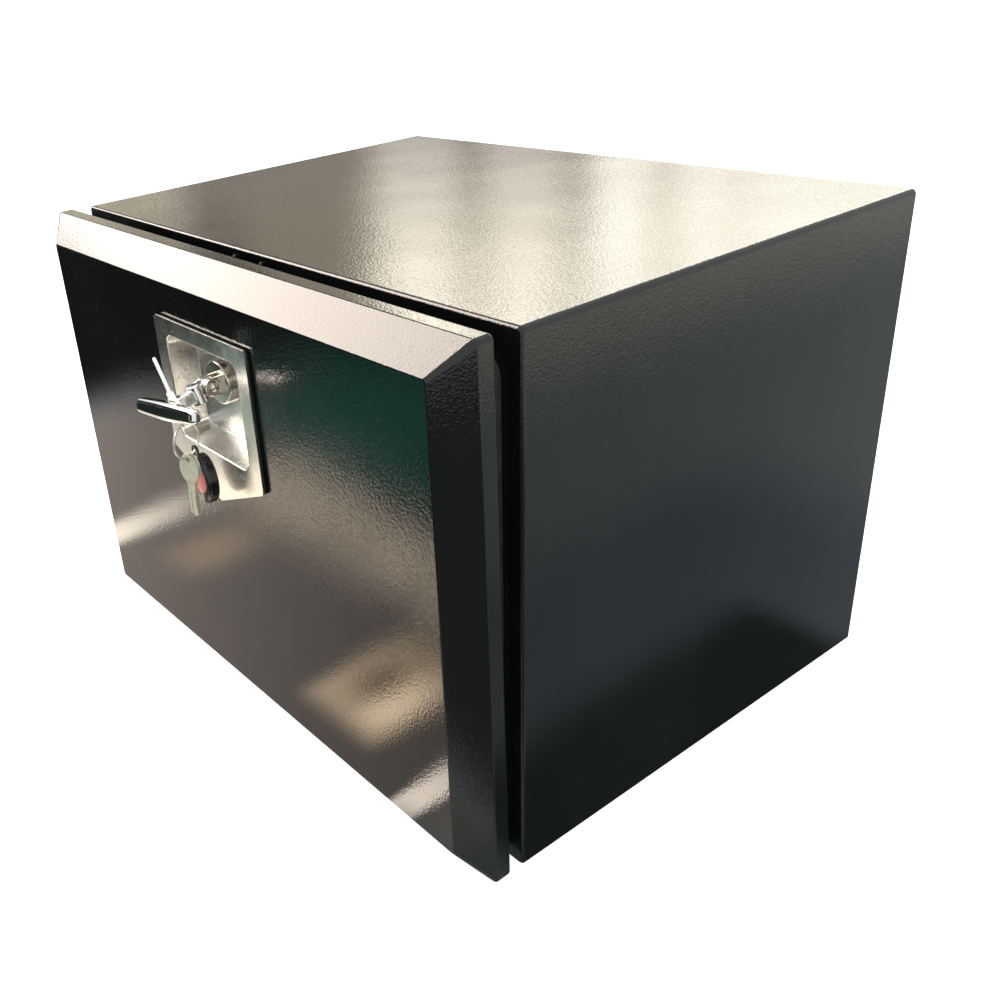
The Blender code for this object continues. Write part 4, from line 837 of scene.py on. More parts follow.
def buildSeal():
    def sealLoop(inset, depth):
        outline = rounded([(half - inset, inset), (half - inset, top - inset), (inset - half, top - inset),
                           (inset - half, inset)], seal["corner"] + seal["inset"] - inset, 12)
        return throughY([(seal["butt"] / 2, inset)] + outline + [(-seal["butt"] / 2, inset)], depth)

    radius, inset, base = seal["width"] / 2, seal["inset"], -seal["base"]
    middle = (inset, base - (seal["height"] - radius))
    outer = [(inset - radius, base)] + arc(middle, radius, pi, 2 * pi, 18) + [(inset + radius, base)]
    inside, floor = radius - seal["wall"], base - seal["wall"]
    inner = [(inset + inside, floor)] + arc(middle, inside, 2 * pi, pi, 14) + [(inset - inside, floor)]
    skin = loft("door_seal_d_section", [sealLoop(*place) for place in outer], around=False, along=True)
    hollow = loft("hollow", [sealLoop(*place) for place in inner], around=False, along=True)
    hollow.data.flip_normals()
    made = joined("door_seal_d_section", [skin, hollow])
    # The two cut ends are closed between the outer and the inner outline
    builder = bmesh.new()
    builder.from_mesh(made.data)
    loose = [edge for edge in builder.edges if edge.is_boundary]
    for side in (-1, 1):
        ends = [edge for edge in loose if all(vert.co.x * side > 0 for vert in edge.verts)]
        bmesh.ops.triangle_fill(builder, edges=ends, use_beauty=True)
    builder.to_mesh(made.data)
    builder.free()
    finished(made, "cabinet", "rubber", toWorld, ["door_seal"], 50)


buildSeal()

# Hinge: two leaves rolled round a pin, eleven knuckles each
hinge = {"endMargin": 0.025, "leafWidth": 0.0115, "pinRadius": 0.0025, "knuckles": 22, "pinEnd": 0.0008}
hingeHalf = half - hinge["endMargin"]
knuckleRadius = -hingeY - gap


def buildHinge():
    pitch = 2 * hingeHalf / hinge["knuckles"]
    z = common["hingeHeight"]
    for name, side, bodyName, pose, node in (
            ("hinge_leaf_cabinet", 1, "cabinet", toWorld, "hinge_leaf_body"),
            ("hinge_leaf_on_door", -1, "door", doorPose, "hinge_leaf_door")):
        meet = atan2(sqrt(knuckleRadius ** 2 - (knuckleRadius - sheet) ** 2), knuckleRadius - sheet)
        notchTop = knuckleRadius + gap
        eye = arc((0, 0), knuckleRadius, meet, 2 * pi, 26)
        outline = [(knuckleRadius, notchTop), (knuckleRadius - sheet, notchTop)] + eye
        outline = [(hingeY + side * y, z + height) for y, height in outline]
        bore = circle(hinge["pinRadius"] + gap, (hingeY, z), 24)
        knuckle = plate("knuckles", [outline, bore], gap, pitch - gap, 'X', 0.0002)
        first = -hingeHalf + (0 if side > 0 else pitch)
        knuckle.data.transform(Matrix.Translation((first, 0, 0)))
        repeated(knuckle, hinge["knuckles"] // 2, (2 * pitch, 0, 0), "zinc")
        near, far = sorted((hingeY + side * (knuckleRadius - sheet), hingeY + side * knuckleRadius))
        low, high = z + notchTop, z + hinge["leafWidth"]
        strip = plate("leaf", [[(-hingeHalf, low), (hingeHalf, low), (hingeHalf, high),
                                (-hingeHalf, high)]], near, far)
        made = joined(name, [knuckle, strip])
        finished(made, bodyName, "zinc", pose, [node])
    length, thin, end = 2 * hingeHalf, hinge["pinRadius"], hinge["pinEnd"]
    pin = turned("hinge_pin_wire", rounded([(0, length), (thin, length), (thin, 0), (0, 0)],
                                           [0, end, end, 0], 4, closed=False), 24)
    pointed(pin, (-hingeHalf, hingeY, z), (1, 0, 0))
    finished(pin, "cabinet", "zinc", toWorld, ["hinge_pin"])


buildHinge()
print("seal and hinge done")

# Strike plate behind the top flange, with two button-head screws
strike = {"width": 0.060, "height": 0.025, "topGap": 0.004, "tabWidth": 0.008, "tabDrop": 0.013,
          "cornerRadius": 0.002, "tabRadius": 0.0015, "innerRadius": 0.001, "headRadius": 0.004,
          "headHeight": 0.0022, "screwRadius": 0.002, "screwTip": 0.0004, "tail": 0.004,
          "socket": 0.0014, "socketDepth": 0.0012}


def buildStrike():
    front = sheet + gap
    high = top - sheet - strike["topGap"]
    low = high - strike["height"]
    hookLow = top - body["flange"] - strike["tabDrop"]
    side, tab = strike["width"] / 2, strike["tabWidth"] / 2
    wide, inner, end = strike["cornerRadius"], strike["innerRadius"], strike["tabRadius"]
    outline = rounded([(side, high), (-side, high), (-side, low), (-tab, low), (-tab, hookLow),
                       (tab, hookLow), (tab, low), (side, low)],
                      [wide, wide, wide, inner, end, end, inner, wide], 5)
    places = [(x * body["screwSpacing"] / 2, top - body["screwFromTop"]) for x in (-1, 1)]
    holes = [circle(strike["screwRadius"] + gap, place, 24) for place in places]
    made = plate("strike_plate_hooked", [outline] + holes, front, front + sheet)
    finished(made, "cabinet", "zinc", toWorld, ["strike_plate"])
    back = front + sheet + strike["tail"]
    wide, tall, thin = strike["headRadius"], strike["headHeight"], strike["screwRadius"]
    profile = rounded([(0, tall), (wide * 0.55, tall), (wide, tall * 0.45), (wide, 0)],
                      [0, 0.0014, 0.0006, 0], 5, closed=False)
    profile += [(thin, 0), (thin, strike["screwTip"] - back), (thin - strike["screwTip"], -back),
                (0, -back)]
    screw = turned("button_screws", profile, 36)
    socket = plate("socket", [circle(strike["socket"], sides=6)], tall - strike["socketDepth"], 0.004,
                   'Z', 0.0)
    carved(screw, [socket])
    screw.data.transform(Matrix.Rotation(pi / 2, 4, 'X'))
    placed(screw, [(x, -gap, z) for x, z in places], (0, 1, 0), "oxide", 11)
    finished(screw, "cabinet", "oxide", toWorld, ["strike_screw_1", "strike_screw_2"])


buildStrike()

# Stays: a stepped post on each wall, and a slotted arm riveted to a bracket on the door
stay = {"radius": 0.170, "doorAngle": 8, "bodyAngle": 24, "thickness": 0.003, "width": 0.018,
        "edgeMargin": 0.0117, "endMargin": 0.012, "studRadius": 0.004, "headRadius": 0.007,
        "headHeight": 0.003, "spacerRadius": 0.006, "footRadius": 0.011, "footHeight": 0.003,
        "rivetRadius": 0.003, "rivetHeadRadius": 0.0055, "rivetHeadHeight": 0.0016, "bracket": 0.003,
        "bracketFoot": 0.022, "bracketHeight": 0.040, "nose": 0.009, "weldSpacing": 0.022,
        "weldSink": 0.0001, "weldMark": ((0, 0.0004), (0.0028, 0.0003), (0.0034, 0)),
        "armEdge": 0.0004}
linerRimFront = doorBack - 2 * sheet - gap
linerBack = linerRimFront + sheet + common["linerField"]


def onStayCircle(degrees):
    angle = radians(degrees)
    return (hingeY + stay["radius"] * sin(angle), common["hingeHeight"] + stay["radius"] * cos(angle))


def buildStay(sideName, side):
    outerFace = half - body["flange"] - stay["edgeMargin"] + stay["thickness"]
    innerFace = outerFace - stay["thickness"]
    doorPoint, bodyPoint = onStayCircle(stay["doorAngle"]), onStayCircle(stay["bodyAngle"])
    spread = radians(stay["bodyAngle"] - stay["doorAngle"])
    slotStart = 2 * stay["radius"] * sin(spread / 2)
    slotEnd = 2 * stay["radius"] * sin((spread + pi / 2) / 2)
    direction = atan2(bodyPoint[1] - doorPoint[1], bodyPoint[0] - doorPoint[0])
    radius, head = stay["studRadius"], stay["headHeight"]
    neck = -(head + stay["thickness"] + 2 * gap)
    foot = -(half - sheet - gap - (innerFace - gap - head))
    headWide, spacer, footWide = stay["headRadius"], stay["spacerRadius"], stay["footRadius"]
    footTop = foot + stay["footHeight"]
    profile = [(0, 0), (headWide, 0), (headWide, -head), (radius, -head), (radius, neck), (spacer, neck),
               (spacer, footTop), (footWide, footTop), (footWide, foot), (0, foot)]
    eases = [0, 0.0009, 0.0003, 0.0002, 0.0002, 0.0004, 0.0005, 0.0008, 0.0002, 0]
    stud = turned("stay_post_" + sideName, rounded(profile, eases, 4, closed=False), 48)
    pointed(stud, (side * (innerFace - gap - head), *bodyPoint), (-side, 0, 0))
    finished(stud, "cabinet", "zinc", toWorld, ["stay_stud_" + sideName])

    def lying(outline):
        return [(doorPoint[0] + a * cos(direction) - b * sin(direction),
                 doorPoint[1] + a * sin(direction) + b * cos(direction)) for a, b in outline]

    outline = capsule(0, slotEnd + stay["endMargin"] - stay["width"] / 2, stay["width"] / 2)
    slot = capsule(slotStart, slotEnd, radius + gap)
    arm = plate("stay_arm_slotted_" + sideName,
                [lying(outline), lying(slot), lying(circle(stay["rivetRadius"] + gap, (0, 0), 28))],
                side * innerFace, side * outerFace, 'X', stay["armEdge"])
    armPose = doorPose @ about((0, *doorPoint), radians(-common["ajar"] / 2), 'X')
    finished(arm, "stay_" + sideName, "zinc", armPose, ["stay_arm_" + sideName])

    bracketOuter = innerFace - gap
    bracketInner = bracketOuter - stay["bracket"]
    root = linerBack + gap
    y, z = doorPoint
    tall, nose = stay["bracketHeight"] / 2, stay["nose"]
    upstand = rounded([(root, z - tall), (root, z + tall), (y + nose, z + nose), (y + nose, z - nose)],
                      [0, 0, nose * 0.9, nose * 0.9], 8)
    wing = plate("wing", [upstand, circle(stay["rivetRadius"] + gap, (y, z), 28)], side * bracketInner,
                 side * bracketOuter, 'X')
    footEdge = bracketOuter - stay["bracketFoot"]
    far, near = side * footEdge, side * (bracketOuter - 0.001)
    pad = plate("pad", [rounded([(far, z - tall), (near, z - tall), (near, z + tall), (far, z + tall)],
                                [0.004, 0.0005, 0.0005, 0.004], 5)], root, root + sheet)
    mark = turned("mark", rounded(stay["weldMark"], [0, 0.0005, 0], 3, closed=False), 24)
    mark.data.transform(Matrix.Rotation(-pi / 2, 4, 'X'))
    middle, back = side * (footEdge + bracketInner) / 2, root + sheet - stay["weldSink"]
    placed(mark, [(middle, back, z + shift * stay["weldSpacing"]) for shift in (-0.5, 0.5)], (0, 1, 0),
           "zinc")
    made = joined("stay_bracket_folded_" + sideName, [wing, pad, mark])
    finished(made, "door", "zinc", doorPose, ["stay_bracket_" + sideName])

    grip = outerFace + gap
    height, wide, thin = stay["rivetHeadHeight"], stay["rivetHeadRadius"], stay["rivetRadius"]
    low = bracketInner - gap
    profile = [(0, grip + height), (wide * 0.6, grip + height), (wide, grip + height * 0.35),
               (wide, grip), (thin, grip), (thin, low), (wide, low), (wide, low - height * 0.35),
               (wide * 0.6, low - height), (0, low - height)]
    eases = [0, 0.0012, 0.0003, 0.0001, 0]
    rivet = turned("stay_rivet_domed_" + sideName,
                   rounded(profile, eases + eases[::-1], 4, closed=False), 40)
    pointed(rivet, (0, *doorPoint), (side, 0, 0))
    finished(rivet, "door", "zinc", doorPose, ["stay_rivet_" + sideName])


buildStay("left", -1)
buildStay("right", 1)
print("strike and stays done")

# Door: outer skin with a folded hem, a return and a bevel all round, and the cut-out for the latch dish
door = {"sideMargin": 0.002, "drop": 0.0031, "returnDepth": 0.0147, "bevelDepth": 0.0204,
        "bevelInset": 0.0252, "crease": 0.002, "hem": 0.034, "panelCorner": 0.003, "linerMargin": 0.006,
        "fieldInset": 0.040, "fieldSlope": 0.004, "linerCorner": 0.012, "press": 0.003,
        "edge": 0.0003}
doorHalf, doorBottom = half - door["sideMargin"], -door["drop"]
bevelBack = doorBack - door["returnDepth"]
doorFront = bevelBack - door["bevelDepth"]

# Latch dish: a pointed plate of polished sheet whose middle is pressed into a box
dish = {"halfWidth": 0.0733, "rise": 0.0494, "fall": 0.0749, "pointFall": 0.1069, "corner": 0.004,
        "point": 0.006, "sheet": 0.0015, "gasket": 0.0019, "gasketMargin": 0.0008, "mouthHalf": 0.0562,
        "mouthRise": 0.0342, "mouthFall": 0.0602, "mouthRadius": 0.010, "lip": 0.0015, "depth": 0.027,
        "draft": 0.004, "floorBend": 0.002, "stud": 0.0025, "studInset": 0.0075, "studSpacing": 0.087,
        "studTail": 0.007, "nutHeight": 0.0042, "nutRadius": 0.0046, "threadPitch": 0.0008,
        "threadDepth": 0.00022, "markRadius": 0.0026, "markHeight": 0.00012, "edge": 0.00035,
        "gasketEdge": 0.0004}
plateBack = doorFront - 2 * gap - dish["gasket"]
plateFront = plateBack - dish["sheet"]
floorFront = plateFront + dish["depth"]
cutGap = dish["sheet"] + gap
cutout = rectangle(dish["mouthHalf"] + cutGap, latchHeight - dish["mouthFall"] - cutGap,
                   latchHeight + dish["mouthRise"] + cutGap, dish["mouthRadius"] + cutGap)
studPlaces = [(side * dish["studSpacing"] / 2, latchHeight + height) for side in (-1, 1)
              for height in (dish["rise"] - dish["studInset"], dish["studInset"] - dish["fall"])]
bush = {"radius": 0.009, "flangeRadius": 0.013, "flangeHeight": 0.0015, "tail": 0.006,
        "nutHeight": 0.005, "nutRadius": 0.0135, "nutTurn": 0.3, "spindle": 0.006,
        "threadPitch": 0.0012, "threadDepth": 0.0005, "threadRunOut": 0.003}


def crease(inset, depth, before, after, steps=5):
    # Rounds a fold of the door, with the directions of the sheet on its two sides
    corner = Vector((inset, depth))
    toBefore, toAfter = Vector(before).normalized(), Vector(after).normalized()
    halfAngle = toBefore.angle(toAfter) / 2
    radius = door["crease"]
    centre = corner + (toBefore + toAfter).normalized() * (radius / sin(halfAngle))
    start = corner + toBefore * (radius / tan(halfAngle)) - centre
    end = corner + toAfter * (radius / tan(halfAngle)) - centre
    first = atan2(start.y, start.x)
    turn = (atan2(end.y, end.x) - first + pi) % (2 * pi) - pi
    stations = []
    for a, b in arc(centre, radius, first, first + turn, steps):
        share = min(a / door["bevelInset"], 1)
        stations.append((a, b, body["corner"] + (door["panelCorner"] - body["corner"]) * share))
    return stations


def buildDoor():
    stations = [(door["hem"], doorBack, body["openingRadius"])]
    for inset, depth, _ in reversed(bendStations(body["bend"], doorBack, -1)):
        stations.append((inset, depth, max(body["corner"] - inset, 0.001)))
    stations += crease(0, bevelBack, (0, 1), (door["bevelInset"], -door["bevelDepth"]))
    stations += crease(door["bevelInset"], doorFront, (-door["bevelInset"], door["bevelDepth"]), (1, 0))
    rings = sheetRings(doorHalf, doorBottom, doorTop, body["corner"], stations)
    skin = loft("door_folded_skin", rings)
    fillBetween(skin, rings[-1], throughY(cutout, doorFront))
    facesToward(skin, (doorHalf, (doorBack + bevelBack) / 2, top / 2), (1, 0, 0))
    thickened(skin, sheet)
    skin.data = plainMesh(skin)
    skin.modifiers.clear()
    carved(skin, [rod("hole", dish["stud"] + gap, (x, doorFront - 0.001, z), (x, doorFront + 0.006, z),
                      sides=24) for x, z in studPlaces])
    edged(skin, door["edge"], 2, 60)
    finished(skin, "door", "powder", doorPose, ["door_skin"])

    front = linerRimFront + sheet
    press, slope = door["press"], door["fieldSlope"]
    inset, rise = door["fieldInset"], linerBack - front
    stations = [(door["linerMargin"], front, door["linerCorner"]),
                (inset - slope - press, front, door["linerCorner"])]
    for step in range(1, 8):
        share = step / 8
        stations.append((inset - slope - press + (slope + 2 * press) * share,
                         front + rise * (3 * share ** 2 - 2 * share ** 3), door["linerCorner"]))
    stations.append((inset + press, linerBack, door["linerCorner"]))
    rings = sheetRings(doorHalf, doorBottom, doorTop, door["linerCorner"], stations)
    liner = loft("door_pressed_liner", rings)
    fillBetween(liner, rings[-1], throughY(circle(bush["radius"] + gap, (0, latchHeight)), linerBack))
    facesToward(liner, (doorHalf - door["linerMargin"], linerRimFront, top / 2), (0, 1, 0))
    thickened(liner, sheet)
    edged(liner, door["edge"], 2, 60)
    finished(liner, "door", "powder", doorPose, ["door_liner"])


buildDoor()
print("door done")


def ridges(name, place, low, high, inner, outer, pitch, finish):
    # Thread crests: one ring repeated along the stud
    profile = [(inner, 0), (outer, pitch * 0.30), (outer, pitch * 0.55), (inner, pitch * 0.85)]
    ring = turned(name, profile, 32)
    ring.data.transform(Matrix.Translation((place[0], low, place[1])) @ Matrix.Rotation(-pi / 2, 4, 'X'))
    return repeated(ring, int((high - low) / pitch), (0, pitch, 0), finish)


def hexNut(name, radius, height, bore):
    made = plate(name, [circle(radius, sides=6), circle(bore, sides=32)], 0, height, 'Z', 0.0)
    ease = height * 0.13
    lens = turned("lens", [(0, height), (radius * 0.88, height), (radius * 1.04, height - ease),
                           (radius * 1.04, ease), (radius * 0.88, 0), (0, 0)], 48)
    carved(made, [lens], 'INTERSECT')
    made.data.transform(Matrix.Rotation(-pi / 2, 4, 'X'))
    return made


def mouthRing(inset, depth, radius):
    return throughY(rectangle(dish["mouthHalf"] - inset, latchHeight - dish["mouthFall"] + inset,
                              latchHeight + dish["mouthRise"] - inset, radius, 10), depth)


def dishOutline(margin):
    wide, high = dish["halfWidth"] - margin, latchHeight + dish["rise"] - margin
    low, point = latchHeight - dish["fall"], latchHeight - dish["pointFall"] + margin
    return rounded([(wide, low), (wide, high), (-wide, high), (-wide, low), (0, point)],
                   [dish["corner"]] * 4 + [dish["point"]], 8)


def buildDish():
    lip, floorBend, draft = dish["lip"], dish["floorBend"], dish["draft"]
    rings = []
    for step in range(8):
        angle = pi / 2 * step / 7
        inset = lip * (sin(angle) - 1)
        rings.append(mouthRing(inset, plateFront + lip * (1 - cos(angle)), dish["mouthRadius"] - inset))
    for step in range(9):
        angle = pi / 2 * step / 8
        inset = floorBend * (1 - cos(angle))
        rings.append(mouthRing(draft + inset, floorFront - floorBend * (1 - sin(angle)),
                               dish["mouthRadius"] - draft / 2 - inset))
    made = loft("latch_dish_pressed", rings)
    fillBetween(made, rings[0], throughY(dishOutline(0), plateFront))
    fillBetween(made, rings[-1], throughY(circle(bush["radius"] + gap, (0, latchHeight)), floorFront))
    facesToward(made, (dish["halfWidth"], plateFront, latchHeight), (0, -1, 0))
    thickened(made, dish["sheet"])
    edged(made, dish["edge"], 3, 60)
    # Studs welded to the back, each with its faint mark on the front
    back = doorFront + sheet + dish["studTail"]
    middle, stud, start = plateFront + dish["sheet"] / 2, dish["stud"], doorFront + sheet
    rods = [rod("stud", stud - 0.0002, (x, middle, z), (x, back, z), 0.0005, 24) for x, z in studPlaces]
    threads = [ridges("thread", place, start, back - 0.001, stud - dish["threadDepth"], stud,
                      dish["threadPitch"], "stainless") for place in studPlaces]
    wide, tall = dish["markRadius"], dish["markHeight"]
    profile = [(0, tall * 0.4), (wide * 0.45, tall * 0.5), (wide * 0.8, tall), (wide * 1.15, 0)]
    mark = turned("marks", rounded(profile, [0, 0.0003, 0.0003, 0], 3, closed=False), 32)
    mark.data.transform(Matrix.Rotation(pi / 2, 4, 'X'))
    placed(mark, [(x, plateFront, z) for x, z in studPlaces], (0, 1, 0), "stainless", 5)
    made = joined("latch_dish_pressed", [made, mark] + rods + threads)
    finished(made, "door", "stainless", doorPose, ["latch_dish"], 30)

    holes = [circle(stud + gap, place, 24) for place in studPlaces]
    pad = plate("dish_sponge_gasket", [dishOutline(dish["gasketMargin"]), cutout] + holes,
                plateBack + gap, doorFront - gap, 'Y', dish["gasketEdge"])
    finished(pad, "door", "sponge", doorPose, ["dish_gasket"])

    nut = hexNut("dish_nuts", dish["nutRadius"], dish["nutHeight"], dish["stud"] + gap)
    placed(nut, [(x, doorFront + sheet + gap, z) for x, z in studPlaces], (0, 1, 0), "zinc", 9)
    finished(nut, "door", "zinc", doorPose, ["dish_nut_%d" % number for number in (1, 2, 3, 4)], 25)


buildDish()


def buildBush():
    flangeBack = floorFront - gap
    back = linerBack + gap + bush["nutHeight"] + bush["tail"] - sheet
    wide, front = bush["flangeRadius"], bush["flangeHeight"] - flangeBack
    crest, root, bore = bush["radius"], bush["radius"] - bush["threadDepth"], bush["spindle"] + gap
    start = linerBack - bush["threadRunOut"]
    profile = [(wide, front), (wide, -flangeBack), (crest, -flangeBack), (crest, -start), (root, -start),
               (root, -back), (bore, -back), (bore, front)]
    made = turned("spindle_bush_threaded", profile, 48, closed=True)
    pointed(made, (0, 0, latchHeight), (0, -1, 0))
    thread = ridges("thread", (0, latchHeight), start, back - 0.0006, root - 0.0001, crest,
                    bush["threadPitch"], "zinc")
    made = joined("spindle_bush_threaded", [made, thread])
    finished(made, "door", "zinc", doorPose, ["spindle_bush"], 30)
    nut = hexNut("bush_nut_chamfered", bush["nutRadius"], bush["nutHeight"], bush["radius"] + gap)
    nut.data.transform(Matrix.Translation((0, linerBack + gap, latchHeight))
                       @ Matrix.Rotation(bush["nutTurn"], 4, 'Y'))
    finished(nut, "door", "zinc", doorPose, ["bush_nut"], 25)


buildBush()
print("dish done")

# Hub: chromed drum with its spindle, and two ears that hold the pin of the fold
hub = {"radius": 0.019, "height": 0.0119, "edge": 0.0014, "pinStandoff": 0.0087, "earRadius": 0.008,
       "earThickness": 0.0037, "pinRadius": 0.0025, "headRadius": 0.0042, "headHeight": 0.0024,
       "ringInner": 0.0046, "ringOuter": 0.0072, "ringDepth": 0.0017, "turn": 9.8, "neck": 0.0045,
       "threadPitch": 0.0009, "threadDepth": 0.0005, "earEdge": 0.0009}
pawl = {"standoff": 0.015, "thickness": 0.003, "tipGap": 0.003, "root": 0.012, "nose": 0.004,
        "washerRadius": 0.010, "washer": 0.0015, "nutRadius": 0.0078, "nutHeight": 0.005,
        "nutTurn": 0.2, "tail": 0.0015, "edge": 0.0004}
handle = {"droop": 11.1, "reach": 0.0425, "shankHalfWidth": 0.006, "shankHalfHeight": 0.0055,
          "shankEdge": 0.0016, "barHalfLength": 0.053, "barHalfHeight": 0.0078, "barHalfThickness": 0.006,
          "barCorner": 0.75, "barRoll": 24, "barTaper": (0.22, 1.8), "barEnd": (0.86, 0.14),
          "barTip": 0.30, "bossRadius": 0.0076, "bossRise": 0.003, "bossFall": 0.004,
          "bossReach": 0.0125, "bossEdge": 0.0009, "plugRadius": 0.0045, "plugLength": 0.0100,
          "plugSink": 0.0004, "plugEdge": 0.0005, "keyway": (0.0012, 0.0062, 0.006), "grain": 0.00042}
hubBack = floorFront - gap - bush["flangeHeight"] - gap
hubFront = hubBack - hub["height"]
pinY = hubFront - hub["pinStandoff"]
hubPose = doorPose @ about((0, hingeY, latchHeight), radians(-hub["turn"]), 'Y')
handlePose = (hubPose @ Matrix.Translation((0, pinY, latchHeight))
              @ Matrix.Rotation(radians(handle["droop"]), 4, 'X'))


def buildHub():
    pawlBack = pawl["standoff"] + pawl["thickness"]
    nutFront = pawlBack + gap + pawl["washer"] + gap
    end = nutFront + pawl["nutHeight"] + pawl["tail"]
    wide, thin, neck, shoulder = hub["radius"], bush["spindle"], hub["neck"], gap - pawl["standoff"]
    profile = rounded([(0, -hubFront), (wide, -hubFront), (wide, -hubBack), (thin, -hubBack),
                       (thin, shoulder), (neck, shoulder), (neck, -nutFront), (neck - 0.0004, -nutFront),
                       (neck - 0.0004, -end), (0, -end)],
                      [0, hub["edge"], 0.0008, 0.0004, 0.0003, 0, 0, 0, 0.0008, 0], 5, closed=False)
    drum = pointed(turned("drum", profile, 96), (0, 0, latchHeight), (0, -1, 0))
    inner = handle["shankHalfWidth"] + gap
    outer = inner + hub["earThickness"]
    radius = hub["earRadius"]
    outline = arc((pinY, latchHeight), radius, pi / 2, 3 * pi / 2, 32)
    outline += [(hubFront + 0.001, latchHeight - radius), (hubFront + 0.001, latchHeight + radius)]
    pieces = [drum]
    for side in (-1, 1):
        ear = plate("ear", [outline, circle(hub["pinRadius"] + gap, (pinY, latchHeight), 32)], side * inner,
                    side * outer, 'X', hub["earEdge"])
        groove = turned("groove", [(hub["ringOuter"], 0.002), (hub["ringOuter"], -hub["ringDepth"]),
                                   (hub["ringInner"], -hub["ringDepth"]), (hub["ringInner"], 0.002)], 48,
                        closed=True)
        pointed(groove, (side * outer, pinY, latchHeight), (side, 0, 0))
        pieces.append(carved(ear, [groove]))
    # Thread crests for the pawl's nut
    thread = ridges("thread", (0, latchHeight), nutFront, end - 0.0008, neck - hub["threadDepth"], neck,
                    hub["threadPitch"], "shadedChrome")
    made = joined("latch_hub_drum", pieces + [thread])
    finished(made, "hub", "shadedChrome", hubPose, ["latch_hub"], 32)

    head = outer + gap
    wide, tall = hub["headRadius"], hub["headHeight"]
    dome = [(wide * sin(pi / 2 * step / 12), head + tall * cos(pi / 2 * step / 12)) for step in range(13)]
    profile = dome + [(hub["pinRadius"], head), (hub["pinRadius"], -head)]
    profile += [(across, -up) for across, up in reversed(dome)]
    pin = pointed(turned("pivot_pin_domed", profile, 48), (0, pinY, latchHeight), (1, 0, 0))
    finished(pin, "hub", "shadedChrome", hubPose, ["pivot_pin"])

    reach = top - body["flange"] - pawl["tipGap"] - latchHeight
    lean = atan2(pawl["root"] - pawl["nose"], reach)
    tip = rounded([(pawl["root"], latchHeight + 0.001), (pawl["nose"], latchHeight + reach),
                   (-pawl["nose"], latchHeight + reach), (-pawl["root"], latchHeight + 0.001)],
                  [0, 0.0015, 0.0015, 0], 6, closed=False)[1:-1]
    rim = arc((0, 0), pawl["root"], pi - lean, 2 * pi + lean, 36)
    outline = tip + [(x, latchHeight + z) for x, z in rim]
    hole = circle(neck + gap, (0, latchHeight), 40)
    blade = plate("pawl_blade", [outline, hole], pawl["standoff"], pawlBack, 'Y', pawl["edge"])
    finished(blade, "hub", "zinc", hubPose, ["pawl"])
    disc = plate("pawl_flat_washer", [circle(pawl["washerRadius"], (0, latchHeight), 56), hole],
                 pawlBack + gap, pawlBack + gap + pawl["washer"])
    finished(disc, "hub", "zinc", hubPose, ["pawl_washer"])
    nut = hexNut("pawl_nut_chamfered", pawl["nutRadius"], pawl["nutHeight"], neck + gap)
    nut.data.transform(Matrix.Translation((0, nutFront, latchHeight))
                       @ Matrix.Rotation(pawl["nutTurn"], 4, 'Y'))
    finished(nut, "hub", "zinc", hubPose, ["pawl_nut"], 25)


buildHub()
print("hub done")


# T handle: a die casting, so all its members run into one another with small blends
def buildHandle():
    wide, tall, reach = handle["shankHalfWidth"], handle["shankHalfHeight"], handle["reach"]
    radius = hub["earRadius"]
    meet = atan2(tall, -sqrt(radius ** 2 - tall ** 2))
    outline = arc((0, 0), radius, meet, -meet, 36) + [(-reach, -tall), (-reach, tall)]
    shank = plate("shank", [outline], -wide, wide, 'X', handle["shankEdge"])
    rings = []
    roll = radians(handle["barRoll"])
    taper, power = handle["barTaper"]
    endStart, endRun = handle["barEnd"]
    count = 60
    for step in range(count + 1):
        share = sin(pi * (step / count - 0.5))
        roundness = max(1 - max(0.0, (abs(share) - endStart) / endRun) ** 2, 0.0) ** 0.5
        size = 1 - taper * abs(share) ** power
        size *= handle["barTip"] + (1 - handle["barTip"]) * roundness
        thick, deep = handle["barHalfThickness"] * size, handle["barHalfHeight"] * size
        section = rectangle(thick, -deep, deep, thick * handle["barCorner"], 8)
        rings.append([(share * handle["barHalfLength"], a * cos(roll) + b * sin(roll) - reach,
                       b * cos(roll) - a * sin(roll)) for a, b in section])
    bar = loft("bar", rings, capped=True)
    bossTop = tall + handle["bossRise"]
    spot = -handle["bossReach"]
    boss = rod("boss", handle["bossRadius"], (0, spot, -tall - handle["bossFall"]), (0, spot, bossTop),
               handle["bossEdge"], 64)
    made = joined("t_handle_casting", [shank, bar, boss])
    remesh = made.modifiers.new("blend", 'REMESH')
    remesh.mode = 'VOXEL'
    remesh.voxel_size = handle["grain"]
    smooth = made.modifiers.new("smooth", 'SMOOTH')
    smooth.factor = 0.5
    smooth.iterations = 5
    made.data = plainMesh(made)
    made.modifiers.clear()
    plugTop = bossTop - handle["plugSink"]
    foot = plugTop - handle["plugLength"]
    carved(made, [rod("pin_hole", hub["pinRadius"] + gap, (-0.02, 0, 0), (0.02, 0, 0)),
                  rod("plug_hole", handle["plugRadius"] + gap, (0, spot, foot - gap),
                      (0, spot, bossTop + 0.004), sides=48)])
    finished(made, "handle", "chrome", handlePose, ["t_handle"], 42)
    plug = rod("lock_plug_round", handle["plugRadius"], (0, spot, foot), (0, spot, plugTop),
               handle["plugEdge"], 48)
    slotWidth, slotLength, slotDepth = handle["keyway"]
    a, b = slotLength / 2, slotWidth / 2
    slot = plate("slot", [rounded([(a, b), (-a, b), (-a, -b), (a, -b)], 0.0004, 3)],
                 plugTop - slotDepth, plugTop + 0.002, 'Z', 0.0)
    slot.data.transform(Matrix.Translation((0, spot, 0)))
    carved(plug, [slot])
    finished(plug, "plug", "chrome", handlePose, ["lock_plug"], 32)


buildHandle()
print("handle done")

